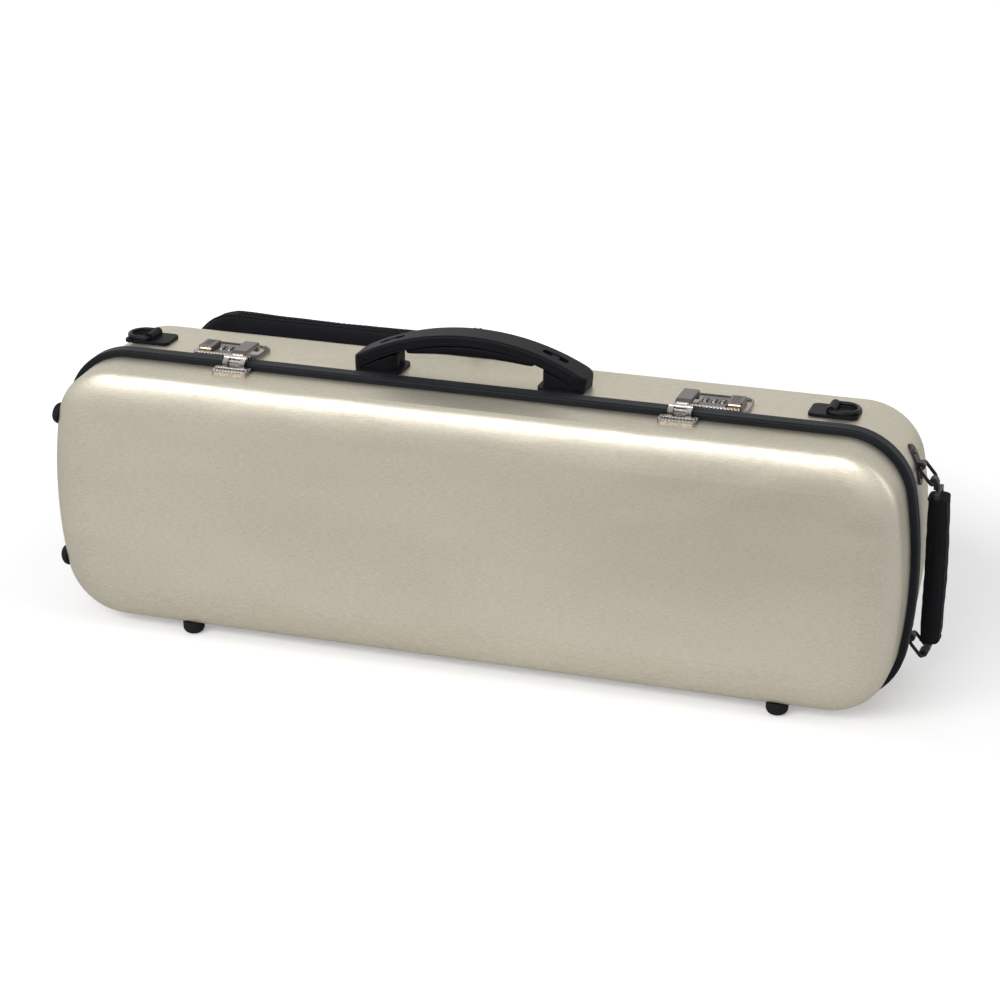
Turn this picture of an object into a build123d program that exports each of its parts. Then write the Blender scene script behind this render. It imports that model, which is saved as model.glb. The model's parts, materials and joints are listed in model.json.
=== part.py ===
from build123d import *
import math
import os

# Case shells
case_length = 830.0
case_height = 255.0
lid_depth = 57.0
base_depth = 118.0
corner_radius = 60.0
end_radius = 450.0
draft_angle = 1.5
shell_wall = 3.0
lid_round_depth = 14.0
lid_round_reach = 38.0
base_round_depth = 22.0
base_round_reach = 30.0
round_steps = 5

# Edge trim and seal
trim_rise = 6.5
trim_width = 8.0
trim_round = 2.5
seam_gap = 0.15
seal_thickness = 3.0
seal_lip = 4.0
seal_depth = 8.0

# Clearances
seat_gap = 0.3
fit_gap = 0.06

# Feet
foot_height = 12.0
end_foot_rise = 7.5
foot_radius = 10.5
foot_round = 6.5
foot_inset = 123.5
foot_shift = 13.0
lid_foot_distance = 38.0
base_foot_distance = 86.0
end_foot_height = 74.0

# Spine hinges
hinge_count = 3
hinge_inset = 153.0
hinge_length = 48.0
hinge_pin_radius = 1.5
knuckle_radius = 2.8
knuckle_count = 5
leaf_thickness = 1.6
leaf_reach = 22.0
hinge_drop = 0.8
hinge_screw_pitch = 16.0
hinge_screw_distance = 16.0

# Screws
screw_head_radius = 2.6
screw_head_height = 1.3
screw_radius = 1.3
screw_length = 4.5
screw_slot = 0.7
screw_slot_depth = 0.5

# Carry handle
handle_shift = -15.5
handle_distance = 42.0
handle_length = 230.0
handle_crown = 44.0
handle_radius = 232.0
strap_thickness = 9.5
strap_width = 31.0
strap_end_width = 35.0
strap_end_drop = 12.0
pad_length = 126.0
pad_thickness = 12.0
pad_bow = 4.0
pad_width = 27.0
mount_length = 47.0
mount_width = 39.0
mount_flange = 3.0
mount_block_width = 33.0
mount_block_length = 38.0
slot_angle = 20.5
slot_length = 27.0
slot_width = 9.4
slot_depth = 7.0
post_slot_length = 16.0
post_radius = 2.4
post_head_radius = 4.1
post_head_height = 2.0
post_head_depth = 0.8
handle_lift = 4.0

# Combination locks
lock_shift = -19.0
lock_inset = 175.5
plate_length = 66.0
plate_width = 46.0
plate_start = 9.5
plate_thickness = 3.4
plate_round = 5.0
plate_screw_inset = 4.6
housing_length = 27.5
housing_width = 28.0
housing_height = 2.4
housing_start = 17.0
housing_wall = 1.2
cheek_thickness = 1.2
cheek_width = 10.0
housing_end = 4.0
housing_gap = 0.8
dial_count = 3
dial_pitch = 8.2
dial_width = 5.0
dial_radius = 7.9
dial_rise = 1.3
dial_flutes = 10
dial_axle_radius = 1.2
button_length = 14.5
button_width = 23.0
button_height = 6.0
button_travel = 4.0
button_groove = 1.0
button_groove_pitch = 2.6
button_groove_depth = 0.6
deck_height = 0.6

# Hasps and keepers
keeper_length = 36.0
keeper_width = 15.0
keeper_start = 9.6
keeper_thickness = 3.6
keeper_web = 2.0
keeper_lug_length = 5.0
hasp_axis_distance = 5.5
hasp_axis_rise = 3.6
hasp_pin_radius = 1.1
hasp_barrel_radius = 2.7
hasp_barrel_length = 11.5
hasp_width = 14.5
hasp_length = 41.0
hasp_height = 4.6
hasp_tooth = 5.2
hasp_tooth_length = 5.0
hasp_link_drop = 1.5
hasp_link_thickness = 1.8

# Shoulder strap tabs and rings
tab_shift = -10.5
tab_inset = 77.5
tab_length = 46.0
tab_width = 32.0
tab_thickness = 3.2
tab_round = 6.0
tab_distance = 50.0
roll_radius = 4.4
roll_length = 22.0
ring_wire = 2.0
ring_width = 33.0
ring_reach = 26.0

# Side handle
side_distance = 55.0
bracket_height = 85.75
bracket_shift = -2.25
bracket_span = 38.0
bracket_width = 14.0
bracket_thickness = 2.0
bracket_screw_offset = 11.5
eye_stand_off = 4.8
eye_radius = 3.6
eye_length = 8.0
loop_wire = 1.6
loop_width = 26.0
loop_reach = 18.3
loop_rest_angle = 50.0
loop_swing = 80.0
hook_eye_radius = 4.0
hook_width = 8.0
hook_neck = 2.5
hook_plate = 4.4
hook_end_bar = 2.0
hook_side_bar = 3.0
webbing_width = 20.0
webbing_thickness = 3.0
webbing_slot = 4.0
sleeve_length = 147.0
sleeve_width = 31.0
sleeve_thickness = 20.0
sleeve_corner = 8.0
sleeve_offset = 5.0
sleeve_bow = 2.5

# Music pocket
pocket_inset = 66.0
pocket_length = 402.0
pocket_height = 244.0
pocket_depth = 35.0
pocket_corner = 55.0
pocket_edge = 11.0
pocket_lift = 11.5
slider_length = 16.0
slider_width = 9.0
slider_height = 4.0
zip_distance = 20.0
zip_rest_run = 307.0

# Linings
lining_front = 9.0
lid_lining_thickness = 7.0
lid_lining_edge = 6.0
recess_floor = 34.0
lower_bout_radius = 117.0
upper_bout_radius = 95.0
lower_bout_inset = 147.0
bout_pitch = 190.0
waist_width = 140.0
neck_width = 56.0
neck_inset = 153.0
neck_depth = 62.0
compartment_gap = 23.0
compartment_height = 50.0
compartment_depth = 74.0
compartment_inset = 153.0
compartment_edge = 6.0
compartment_top_edge = 18.0
end_bin_length = 112.0
end_bin_height = 176.0
panel_thickness = 5.0
panel_pin_radius = 1.5
neck_strap_run = 127.0
neck_strap_width = 32.0
neck_strap_length = 96.0
neck_strap_thickness = 2.0
bow_spacing = 62.0
clip_inset = 97.0
clip_length = 46.0
clip_width = 12.0
clip_thickness = 6.0
clip_boss_radius = 5.0
clip_boss_height = 16.0
tip_loop_inset = 71.0
tip_loop_length = 34.0
tip_loop_width = 30.0
tip_loop_height = 17.0
tip_loop_wall = 2.0

# Worked out from the driving dimensions
slope = math.tan(math.radians(draft_angle))
tilt_sin = math.sin(math.radians(draft_angle))
tilt_cos = math.cos(math.radians(draft_angle))
shell_base = foot_height
shell_top = shell_base + case_height
mid_height = shell_base + case_height / 2
foot_spread = case_length - 2 * foot_inset
hinge_pitch = (case_length - 2 * hinge_inset) / (hinge_count - 1)
lock_spacing = case_length - 2 * lock_inset
tab_spacing = case_length - 2 * tab_inset
pocket_left = pocket_inset - case_length / 2
zip_rest = pocket_left + zip_rest_run
lower_bout_place = case_length / 2 - lower_bout_inset
upper_bout_place = lower_bout_place - bout_pitch
neck_end = neck_inset - case_length / 2
compartment_left = compartment_inset - case_length / 2
compartment_length = upper_bout_place - upper_bout_radius - compartment_gap - compartment_left
neck_strap_place = neck_end + neck_strap_run
clip_place = case_length / 2 - clip_inset
tip_loop_place = tip_loop_inset - case_length / 2
loop_run = loop_reach * math.cos(math.radians(loop_rest_angle))
loop_drop = loop_reach * math.sin(math.radians(loop_rest_angle))


def end_half_length(height, distance=0.0, outset=0.0):
    """Half length of the case at a height above its middle and a distance from the parting plane."""
    grow = outset - abs(distance) * slope
    bow_radius = end_radius + grow
    bow_centre = case_length / 2 - end_radius
    corner = corner_radius + grow
    corner_height = case_height / 2 - corner_radius
    corner_centre = bow_centre + math.sqrt((end_radius - corner_radius) ** 2 - corner_height**2)
    corner_start = corner_height * bow_radius / (end_radius - corner_radius)
    if abs(height) <= corner_start:
        return bow_centre + math.sqrt(bow_radius**2 - height**2)
    return corner_centre + math.sqrt(corner**2 - (abs(height) - corner_height) ** 2)


# Reach of the whole case around its parting plane, which centres it over the origin
eye_half_length = end_half_length(bracket_height + bracket_shift, side_distance) + eye_stand_off
right_reach = eye_half_length + loop_run + sleeve_offset + sleeve_thickness / 2 + sleeve_bow
left_reach = end_half_length(end_foot_height) + end_foot_rise
front_reach = lid_depth
rear_reach = base_depth + seat_gap + pocket_depth
mid_x = (left_reach - right_reach) / 2
part_y = (front_reach - rear_reach) / 2

# Planes that the pieces stand on
parting = Plane(origin=(mid_x, part_y, mid_height), x_dir=(1, 0, 0), z_dir=(0, -1, 0))
base_top = Plane(origin=(mid_x, part_y, shell_top), x_dir=(1, 0, 0), z_dir=(0, tilt_sin, tilt_cos))
lid_top = Plane(origin=(mid_x, part_y, shell_top), x_dir=(1, 0, 0), z_dir=(0, -tilt_sin, tilt_cos))
base_under = Plane(origin=(mid_x, part_y, shell_base), x_dir=(1, 0, 0), z_dir=(0, tilt_sin, -tilt_cos))
lid_under = Plane(origin=(mid_x, part_y, shell_base), x_dir=(1, 0, 0), z_dir=(0, -tilt_sin, -tilt_cos))

# Lid hinge axis, just under the trim
hinge_z = shell_base - trim_rise - hinge_drop
hinge_places = [(index - (hinge_count - 1) / 2) * hinge_pitch for index in range(hinge_count)]


def save(builder, label):
    """Label a finished piece and write it to its own file."""
    builder.part.label = label
    export_step(builder.part, f"parts/{label}.step")


def on_plane(plane, across, along, out=0.0):
    """A place on a plane, turned as the plane is, at a height above it."""
    return Plane(origin=plane.from_local_coords((across, along, out)), x_dir=plane.x_dir, z_dir=plane.z_dir)


def case_outline(distance, inset):
    """The case's outline at a signed distance in front of the parting plane, drawn in by an inset."""
    half_length = case_length / 2 - inset
    half_height = case_height / 2 - inset
    bow_radius = end_radius - inset
    shoulder = half_length - bow_radius + math.sqrt(bow_radius**2 - half_height**2)
    with BuildSketch(parting.offset(distance)) as section:
        with BuildLine():
            Line((-shoulder, half_height), (shoulder, half_height))
            ThreePointArc((shoulder, half_height), (half_length, 0), (shoulder, -half_height))
            Line((shoulder, -half_height), (-shoulder, -half_height))
            ThreePointArc((-shoulder, -half_height), (-half_length, 0), (-shoulder, half_height))
        make_face()
        fillet(section.vertices(), radius=corner_radius - inset)
    return section.sketch


def rounded_form(side, depth, round_depth, round_reach, inset, mode=Mode.ADD):
    """A drafted tray with a pillow-like face: side 1 is the lid and side -1 the base."""
    straight = depth - round_depth
    drawn_in = inset + straight * slope
    loft([case_outline(0, inset), case_outline(side * straight, drawn_in)], ruled=True, mode=mode)
    sections = []
    for step in range(round_steps + 1):
        turn = math.radians(90 * step / round_steps)
        distance = straight + round_depth * math.sin(turn)
        sections.append(case_outline(side * distance, drawn_in + round_reach * (1 - math.cos(turn))))
    loft(sections, mode=mode)


def screw_points(across, along, pitch, count):
    """Places of a row of screws."""
    return [(across + (index - (count - 1) / 2) * pitch, along) for index in range(count)]


# Places of the two locks, the two strap tabs and their screws
SIDES = {"left": -1, "right": 1}
plate_middle = plate_start + plate_width / 2
plate_screw_run = plate_length / 2 - plate_screw_inset
plate_screw_rise = plate_width / 2 - plate_screw_inset
lock_half = lock_spacing / 2
lock_places = {name: lock_shift + sign * lock_half for name, sign in SIDES.items()}
hasp_offset = plate_length / 2 - hasp_width / 2 - housing_end
keeper_screw_run = keeper_length / 2 - 3.6
keeper_middle = keeper_start + keeper_width / 2


def plate_screws(name):
    """Screw places of one lock plate on the base's top plane."""
    middle = lock_places[name]
    return [
        (middle + across * plate_screw_run, plate_middle + along * plate_screw_rise)
        for across in (-1, 1)
        for along in (-1, 1)
    ]


def keeper_screws(name):
    """Screw places of one keeper on the lid's top plane."""
    middle = lock_places[name] - SIDES[name] * hasp_offset
    return [(middle + across * keeper_screw_run, -keeper_middle) for across in (-1, 1)]


def hinge_screws(side):
    """Screw places of every hinge leaf, on the lid's (1) or the base's (-1) under plane."""
    places = []
    for middle in hinge_places:
        places += screw_points(middle, side * hinge_screw_distance, hinge_screw_pitch, 3)
    return places


def bracket_plane(side, offset):
    """Plane on the right end's skin where a side bracket's screw goes: side 1 is the upper one."""
    height = bracket_shift + side * bracket_height + offset
    reach = 0.5
    rise = end_half_length(height + reach, side_distance) - end_half_length(height - reach, side_distance)
    normal = Vector(2 * reach, 0, -rise).normalized()
    origin = (mid_x + end_half_length(height, side_distance), part_y + side_distance, mid_height + height)
    return Plane(origin=origin, x_dir=(0, 1, 0), z_dir=normal)


bracket_screw_planes = [
    bracket_plane(side, offset)
    for side in (1, -1)
    for offset in (-bracket_screw_offset, bracket_screw_offset)
]
top_screw_planes = [
    on_plane(base_top, across, along) for name in SIDES for across, along in plate_screws(name)
]
keeper_screw_planes = [
    on_plane(lid_top, across, along) for name in SIDES for across, along in keeper_screws(name)
]
base_hinge_planes = [on_plane(base_under, across, along) for across, along in hinge_screws(-1)]
lid_hinge_planes = [on_plane(lid_under, across, along) for across, along in hinge_screws(1)]


def cut_screw_holes(planes):
    """Bore the screw holes of a shell."""
    for plane in planes:
        with BuildSketch(plane.offset(seat_gap)) as hole:
            Circle(screw_radius + fit_gap)
        extrude(hole.sketch, amount=-3 * shell_wall, mode=Mode.SUBTRACT)


# The dials' wells go through the base's wall into the lining
well_length = dial_count * dial_pitch
well_width = 2 * dial_radius + 1.5
window_half = math.sqrt(dial_radius**2 - (dial_radius - dial_rise - housing_wall) ** 2) + seat_gap
dial_distance = housing_start + housing_width / 2
housing_middle_offset = -plate_length / 2 + housing_end + hasp_width + housing_gap + housing_length / 2
dial_height = plate_thickness + housing_height + dial_rise - dial_radius


def housing_middle(name):
    """Middle of a lock's housing along the case."""
    return lock_places[name] + SIDES[name] * housing_middle_offset


def cut_dial_wells(depth):
    """Open the room that the dials turn in."""
    for name in SIDES:
        with BuildSketch(on_plane(base_top, housing_middle(name), dial_distance)) as well:
            Rectangle(well_length, well_width)
        extrude(well.sketch, amount=-depth, mode=Mode.SUBTRACT)


# Shells
def make_base_shell():
    with BuildPart() as base_shell:
        rounded_form(-1, base_depth, base_round_depth, base_round_reach, 0)
        inner_depth = base_depth - shell_wall
        rounded_form(-1, inner_depth, base_round_depth, base_round_reach, shell_wall, Mode.SUBTRACT)
        cut_dial_wells(3 * shell_wall)
        cut_screw_holes(top_screw_planes + bracket_screw_planes + base_hinge_planes)
    save(base_shell, "base_shell")


def make_lid_shell():
    with BuildPart() as lid_shell:
        rounded_form(1, lid_depth, lid_round_depth, lid_round_reach, 0)
        rounded_form(1, lid_depth - shell_wall, lid_round_depth, lid_round_reach, shell_wall, Mode.SUBTRACT)
        cut_screw_holes(keeper_screw_planes + lid_hinge_planes)
    save(lid_shell, "lid_shell")


# Raised trim around both rims, open where the hinges sit
def make_trim(side, label):
    with BuildPart() as trim:
        extrude(case_outline(side * seam_gap, -trim_rise), amount=side * (trim_width - seam_gap))
        far_face = trim.faces().sort_by(Axis.Y)[0 if side > 0 else -1]
        fillet(far_face.edges(), radius=trim_round)
        extrude(case_outline(0, 0), amount=side * (trim_width + 1), mode=Mode.SUBTRACT)
        for middle in hinge_places:
            with BuildSketch(parting):
                with Locations((middle, -case_height / 2 - trim_rise)):
                    Rectangle(hinge_length + 2 * seat_gap, 2 * trim_rise + 1)
            extrude(amount=side * (trim_width + 1), mode=Mode.SUBTRACT)
    save(trim, label)


# Rubber seal inside the base's rim, with a lip that reaches into the lid
def make_seal():
    with BuildPart() as seal:
        inset = shell_wall + seat_gap
        extrude(case_outline(seal_lip, inset), amount=-seal_lip - seal_depth)
        extrude(case_outline(seal_lip, inset + seal_thickness), amount=-seal_lip - seal_depth, mode=Mode.SUBTRACT)
    save(seal, "edge_seal")


# Spine hinges
def knuckle_span(index):
    """Start and length of one knuckle along its hinge."""
    pitch = hinge_length / knuckle_count
    return -hinge_length / 2 + index * pitch + seat_gap / 2, pitch - seat_gap


def make_hinge_leaves(side, plane, label):
    own = [index for index in range(knuckle_count) if (index % 2 == 0) == (side < 0)]
    axis_plane = Plane(origin=(mid_x, part_y, hinge_z), x_dir=(0, 1, 0), z_dir=(1, 0, 0))
    with BuildPart() as leaves:
        for middle in hinge_places:
            with BuildSketch(on_plane(plane, middle, side * (leaf_reach + 1) / 2)):
                RectangleRounded(hinge_length, leaf_reach - 1, 1.5)
            extrude(amount=leaf_thickness)
            for index in own:
                start, length = knuckle_span(index)
                with BuildSketch(axis_plane.offset(middle + start)):
                    Circle(knuckle_radius)
                    with Locations((-side * (knuckle_radius - leaf_thickness / 2), (shell_base - hinge_z) / 2)):
                        Rectangle(leaf_thickness, shell_base - hinge_z - seat_gap)
                extrude(amount=length)
        with BuildSketch(axis_plane.offset(-case_length / 2)):
            Circle(hinge_pin_radius + fit_gap)
        extrude(amount=case_length, mode=Mode.SUBTRACT)
        places = [on_plane(plane, across, along).location for across, along in hinge_screws(side)]
        with Locations(*places):
            Cylinder(screw_radius + fit_gap, 4 * leaf_thickness, mode=Mode.SUBTRACT)
    save(leaves, label)


def make_hinge_pins():
    axis_plane = Plane(origin=(mid_x, part_y, hinge_z), x_dir=(0, 1, 0), z_dir=(1, 0, 0))
    with BuildPart() as pins:
        for middle in hinge_places:
            with BuildSketch(axis_plane.offset(middle - hinge_length / 2)):
                Circle(hinge_pin_radius)
            extrude(amount=hinge_length)
    save(pins, "hinge_pins")


# Screws, all alike
def make_screws(seats, label):
    """Screws seated at a height above their planes."""
    with BuildPart() as screw:
        Cylinder(screw_head_radius, screw_head_height, align=(Align.CENTER, Align.CENTER, Align.MIN))
        fillet(screw.edges().group_by(Axis.Z)[-1], radius=0.6)
        slot_length = 1.6 * screw_head_radius
        with Locations((0, 0, screw_head_height)):
            Box(screw_slot, slot_length, 2 * screw_slot_depth, mode=Mode.SUBTRACT)
        Cylinder(screw_radius, screw_length, align=(Align.CENTER, Align.CENTER, Align.MAX))
    with BuildPart() as group:
        for plane, height in seats:
            with Locations(plane.offset(height).location):
                add(screw.part)
    save(group, label)


# Feet: two under each shell and two on its left end
def foot_planes(side, distance):
    """Seats of one shell's feet: side -1 is the lid and side 1 the base."""
    under = lid_under if side < 0 else base_under
    planes = [on_plane(under, foot_shift + run * foot_spread / 2, -side * distance) for run in (-1, 1)]
    for up in (-1, 1):
        height = up * end_foot_height
        turn = math.asin(height / end_radius)
        origin = (mid_x - end_half_length(height, distance), part_y + side * distance, mid_height + height)
        planes.append(Plane(origin=origin, z_dir=(-math.cos(turn), side * tilt_sin, math.sin(turn))))
    return planes


def make_foot(height):
    with BuildPart() as foot:
        Cylinder(foot_radius, height, align=(Align.CENTER, Align.CENTER, Align.MIN))
        fillet(foot.edges().group_by(Axis.Z)[-1], radius=foot_round)
    return foot.part


def make_feet(side, distance, label):
    under_foot = make_foot(foot_height + 1)
    end_foot = make_foot(end_foot_rise)
    with BuildPart() as feet:
        for plane, foot in zip(foot_planes(side, distance), (under_foot, under_foot, end_foot, end_foot)):
            with Locations(plane.location):
                add(foot)
        split(bisect_by=Plane.XY, keep=Keep.TOP)
    save(feet, label)


# Carry handle: a moulded strap on two mounts, with a soft pad under it
handle_plane = on_plane(base_top, handle_shift, handle_distance)
handle_side = Plane(origin=handle_plane.origin, x_dir=(1, 0, 0), z_dir=-handle_plane.y_dir)
arc_height = handle_crown - handle_radius
strap_under = handle_radius - strap_thickness
half_strap = handle_length / 2
slot_middle = (handle_radius * math.sin(math.radians(slot_angle)))


def arc_drop(radius, reach):
    """Height on an arc about the handle's centre."""
    return arc_height + math.sqrt(radius**2 - reach**2)


def slot_plane(side):
    """Plane on the strap's top at the middle of a slot."""
    turn = math.radians(slot_angle)
    normal = handle_plane.z_dir * math.cos(turn) + handle_plane.x_dir * (side * math.sin(turn))
    along = handle_plane.x_dir * math.cos(turn) - handle_plane.z_dir * (side * math.sin(turn))
    place = (side * slot_middle, 0, arc_height + handle_radius * math.cos(turn))
    return Plane(origin=handle_plane.from_local_coords(place), x_dir=along, z_dir=normal)


def make_mount(side, label):
    middle = side * (half_strap - mount_length / 2 - 0.5)
    with BuildPart() as mount:
        with BuildSketch(on_plane(handle_plane, middle, 0)):
            RectangleRounded(mount_length, mount_width, 8)
        extrude(amount=mount_flange)
        with BuildSketch(on_plane(handle_plane, middle, 0, mount_flange)):
            RectangleRounded(mount_block_length, mount_block_width, 7)
        extrude(amount=handle_crown)
        with BuildSketch(handle_side.offset(-mount_width)):
            with Locations((0, arc_height)):
                Circle(3 * handle_radius)
                Circle(strap_under - seat_gap - strap_end_drop / 4, mode=Mode.SUBTRACT)
        extrude(amount=2 * mount_width, mode=Mode.SUBTRACT)
        fillet(mount.edges().filter_by(GeomType.CIRCLE).group_by(Axis.Z)[-1], radius=1.0)
        with Locations(slot_plane(side).offset(-strap_thickness).location):
            Cylinder(post_radius + fit_gap, 4 * strap_thickness, mode=Mode.SUBTRACT)
    save(mount, label)


def make_posts():
    with BuildPart() as posts:
        for side in (-1, 1):
            top = slot_plane(side).offset(-post_head_depth)
            with BuildSketch(top):
                Circle(post_head_radius)
            extrude(amount=-post_head_height)
            with BuildSketch(top):
                Circle(post_radius)
            extrude(amount=-(slot_depth + strap_thickness + strap_end_drop / 2))
    save(posts, "handle_posts")


def make_handle_strap():
    end_under = strap_under - strap_end_drop / 4
    with BuildPart() as strap:
        with BuildSketch(handle_side.offset(-strap_end_width / 2)):
            with BuildLine():
                ThreePointArc(
                    (-half_strap, arc_drop(handle_radius, half_strap)),
                    (0, handle_crown),
                    (half_strap, arc_drop(handle_radius, half_strap)),
                )
                Line(
                    (half_strap, arc_drop(handle_radius, half_strap)),
                    (half_strap - 2, arc_drop(end_under, half_strap - 2)),
                )
                ThreePointArc(
                    (half_strap - 2, arc_drop(end_under, half_strap - 2)),
                    (0, handle_crown - strap_thickness),
                    (2 - half_strap, arc_drop(end_under, half_strap - 2)),
                )
                Line(
                    (2 - half_strap, arc_drop(end_under, half_strap - 2)),
                    (-half_strap, arc_drop(handle_radius, half_strap)),
                )
            make_face()
        extrude(amount=strap_end_width)
        with BuildSketch(handle_plane) as plan:
            with BuildLine():
                Spline(
                    (-half_strap, strap_end_width / 2),
                    (-half_strap / 2, strap_width / 2 + 0.6),
                    (half_strap / 2, strap_width / 2 + 0.6),
                    (half_strap, strap_end_width / 2),
                )
                Line((half_strap, strap_end_width / 2), (half_strap, -strap_end_width / 2))
                Spline(
                    (half_strap, -strap_end_width / 2),
                    (half_strap / 2, -strap_width / 2 - 0.6),
                    (-half_strap / 2, -strap_width / 2 - 0.6),
                    (-half_strap, -strap_end_width / 2),
                )
                Line((-half_strap, -strap_end_width / 2), (-half_strap, strap_end_width / 2))
            make_face()
            fillet(plan.vertices(), radius=9)
        extrude(amount=2 * handle_crown, mode=Mode.INTERSECT)
        fillet(strap.faces().sort_by(Axis.Z)[-1].edges(), radius=2.6)
        for side in (-1, 1):
            with BuildSketch(slot_plane(side).offset(1)):
                SlotOverall(slot_length, slot_width)
            extrude(amount=-(slot_depth + 1), mode=Mode.SUBTRACT)
            with BuildSketch(slot_plane(side).offset(1)):
                SlotOverall(post_slot_length, 2 * post_radius + 2 * seat_gap)
            extrude(amount=-3 * strap_thickness, mode=Mode.SUBTRACT)
    save(strap, "handle_strap")


def make_handle_pad():
    half_pad = pad_length / 2
    top_end = arc_drop(strap_under - seat_gap, half_pad) - 1.2
    low = handle_crown - strap_thickness - pad_thickness
    with BuildPart() as pad:
        with BuildSketch(handle_side.offset(-pad_width / 2)):
            with BuildLine():
                ThreePointArc(
                    (-half_pad, top_end), (0, handle_crown - strap_thickness - seat_gap), (half_pad, top_end)
                )
                Line((half_pad, top_end), (half_pad - 2, low - pad_bow))
                ThreePointArc((half_pad - 2, low - pad_bow), (0, low), (2 - half_pad, low - pad_bow))
                Line((2 - half_pad, low - pad_bow), (-half_pad, top_end))
            make_face()
        extrude(amount=pad_width)
        fillet(pad.faces().sort_by(Axis.Z)[0].edges(), radius=2.4)
    save(pad, "handle_pad")


# Combination locks on the base and their keepers and hasps on the lid
def make_lock_plate(name):
    middle = lock_places[name]
    with BuildPart() as plate:
        with BuildSketch(on_plane(base_top, middle, plate_middle)):
            RectangleRounded(plate_length, plate_width, plate_round)
        extrude(amount=plate_thickness)
        fillet(plate.faces().sort_by(Axis.Z)[-1].edges(), radius=0.5)
        with BuildSketch(on_plane(base_top, housing_middle(name), dial_distance)):
            Rectangle(well_length, well_width)
        extrude(amount=2 * plate_thickness, mode=Mode.SUBTRACT)
        with Locations(*[on_plane(base_top, across, along).location for across, along in plate_screws(name)]):
            Cylinder(screw_radius + fit_gap, 4 * plate_thickness, mode=Mode.SUBTRACT)
    save(plate, f"lock_plate_{name}")


def dial_places(name):
    """Middles of a lock's dials along the case, from the inner end."""
    sign = SIDES[name]
    return [
        housing_middle(name) + sign * (index - (dial_count - 1) / 2) * dial_pitch for index in range(dial_count)
    ]


def dial_plane(middle):
    """Plane across a dial's axle, seen from the right."""
    origin = base_top.from_local_coords((middle, dial_distance, dial_height))
    return Plane(origin=origin, x_dir=base_top.y_dir, z_dir=(1, 0, 0))


def make_lock_housing(name):
    sign = SIDES[name]
    middle = housing_middle(name)
    deck_start = housing_length / 2
    deck_length = button_length + button_travel + 1.4
    with BuildPart() as housing:
        with BuildSketch(on_plane(base_top, middle, dial_distance, plate_thickness)):
            RectangleRounded(housing_length, housing_width, 2)
        extrude(amount=housing_height)
        fillet(housing.faces().sort_by(Axis.Z)[-1].edges(), radius=1.2)
        deck_middle = middle + sign * (deck_start + deck_length / 2 - 0.5)
        with BuildSketch(on_plane(base_top, deck_middle, dial_distance, plate_thickness)):
            Rectangle(deck_length + 1, button_width)
        extrude(amount=deck_height)
        with BuildSketch(on_plane(base_top, middle, dial_distance, plate_thickness)):
            Rectangle(housing_length - 2 * housing_wall, housing_width - 2 * housing_wall)
        extrude(amount=housing_height - housing_wall, mode=Mode.SUBTRACT)
        for place in dial_places(name):
            with BuildSketch(on_plane(base_top, place, dial_distance, plate_thickness)):
                Rectangle(dial_width + 2 * seat_gap, 2 * window_half)
            extrude(amount=2 * housing_height, mode=Mode.SUBTRACT)
        cheek_start = (well_length - cheek_thickness) / 2 - fit_gap
        with BuildSketch(on_plane(base_top, middle, dial_distance, plate_thickness + housing_height - housing_wall)):
            with Locations((-cheek_start, 0), (cheek_start, 0)):
                Rectangle(cheek_thickness, cheek_width)
        extrude(amount=dial_height - plate_thickness - housing_height + housing_wall - 2 * dial_axle_radius)
        with BuildSketch(dial_plane(middle - housing_length / 2 - 1)):
            Circle(dial_axle_radius + fit_gap)
        extrude(amount=housing_length + 2, mode=Mode.SUBTRACT)
    save(housing, f"lock_housing_{name}")


def make_dial(name, index):
    with BuildPart() as dial:
        with BuildSketch(dial_plane(dial_places(name)[index] - dial_width / 2)):
            Circle(dial_radius)
            with PolarLocations(dial_radius + 0.35, dial_flutes):
                Circle(0.9, mode=Mode.SUBTRACT)
            Circle(dial_axle_radius + fit_gap, mode=Mode.SUBTRACT)
        extrude(amount=dial_width)
    save(dial, f"lock_dial_{name}_{index + 1}")


def make_axles():
    with BuildPart() as axles:
        for name in SIDES:
            with BuildSketch(dial_plane(housing_middle(name) - well_length / 2 + 2 * fit_gap)):
                Circle(dial_axle_radius)
            extrude(amount=well_length - 4 * fit_gap)
    save(axles, "lock_axles")


def make_button(name):
    sign = SIDES[name]
    middle = housing_middle(name) + sign * (housing_length / 2 + seat_gap + button_length / 2)
    with BuildPart() as button:
        with BuildSketch(on_plane(base_top, middle, dial_distance, plate_thickness + deck_height + seat_gap)):
            RectangleRounded(button_length, button_width - 1, 1.5)
        extrude(amount=button_height)
        fillet(button.faces().sort_by(Axis.Z)[-1].edges(), radius=1.2)
        top = plate_thickness + deck_height + seat_gap + button_height
        for step in (-1, 0, 1):
            place = middle + step * button_groove_pitch
            with BuildSketch(on_plane(base_top, place, dial_distance, top)):
                Rectangle(button_groove, 2 * button_width / 3)
            extrude(amount=-button_groove_depth, mode=Mode.SUBTRACT)
    save(button, f"lock_button_{name}")


def hasp_axis_plane(start):
    """Plane across a hasp's pin, above the lid's trim."""
    origin = (mid_x + start, part_y - hasp_axis_distance, shell_top + trim_rise + hasp_axis_rise)
    return Plane(origin=origin, x_dir=(0, 1, 0), z_dir=(1, 0, 0))


def hasp_middle(name):
    """Middle of a hasp along the case, nearer the handle than its lock."""
    return lock_places[name] - SIDES[name] * hasp_offset


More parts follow.
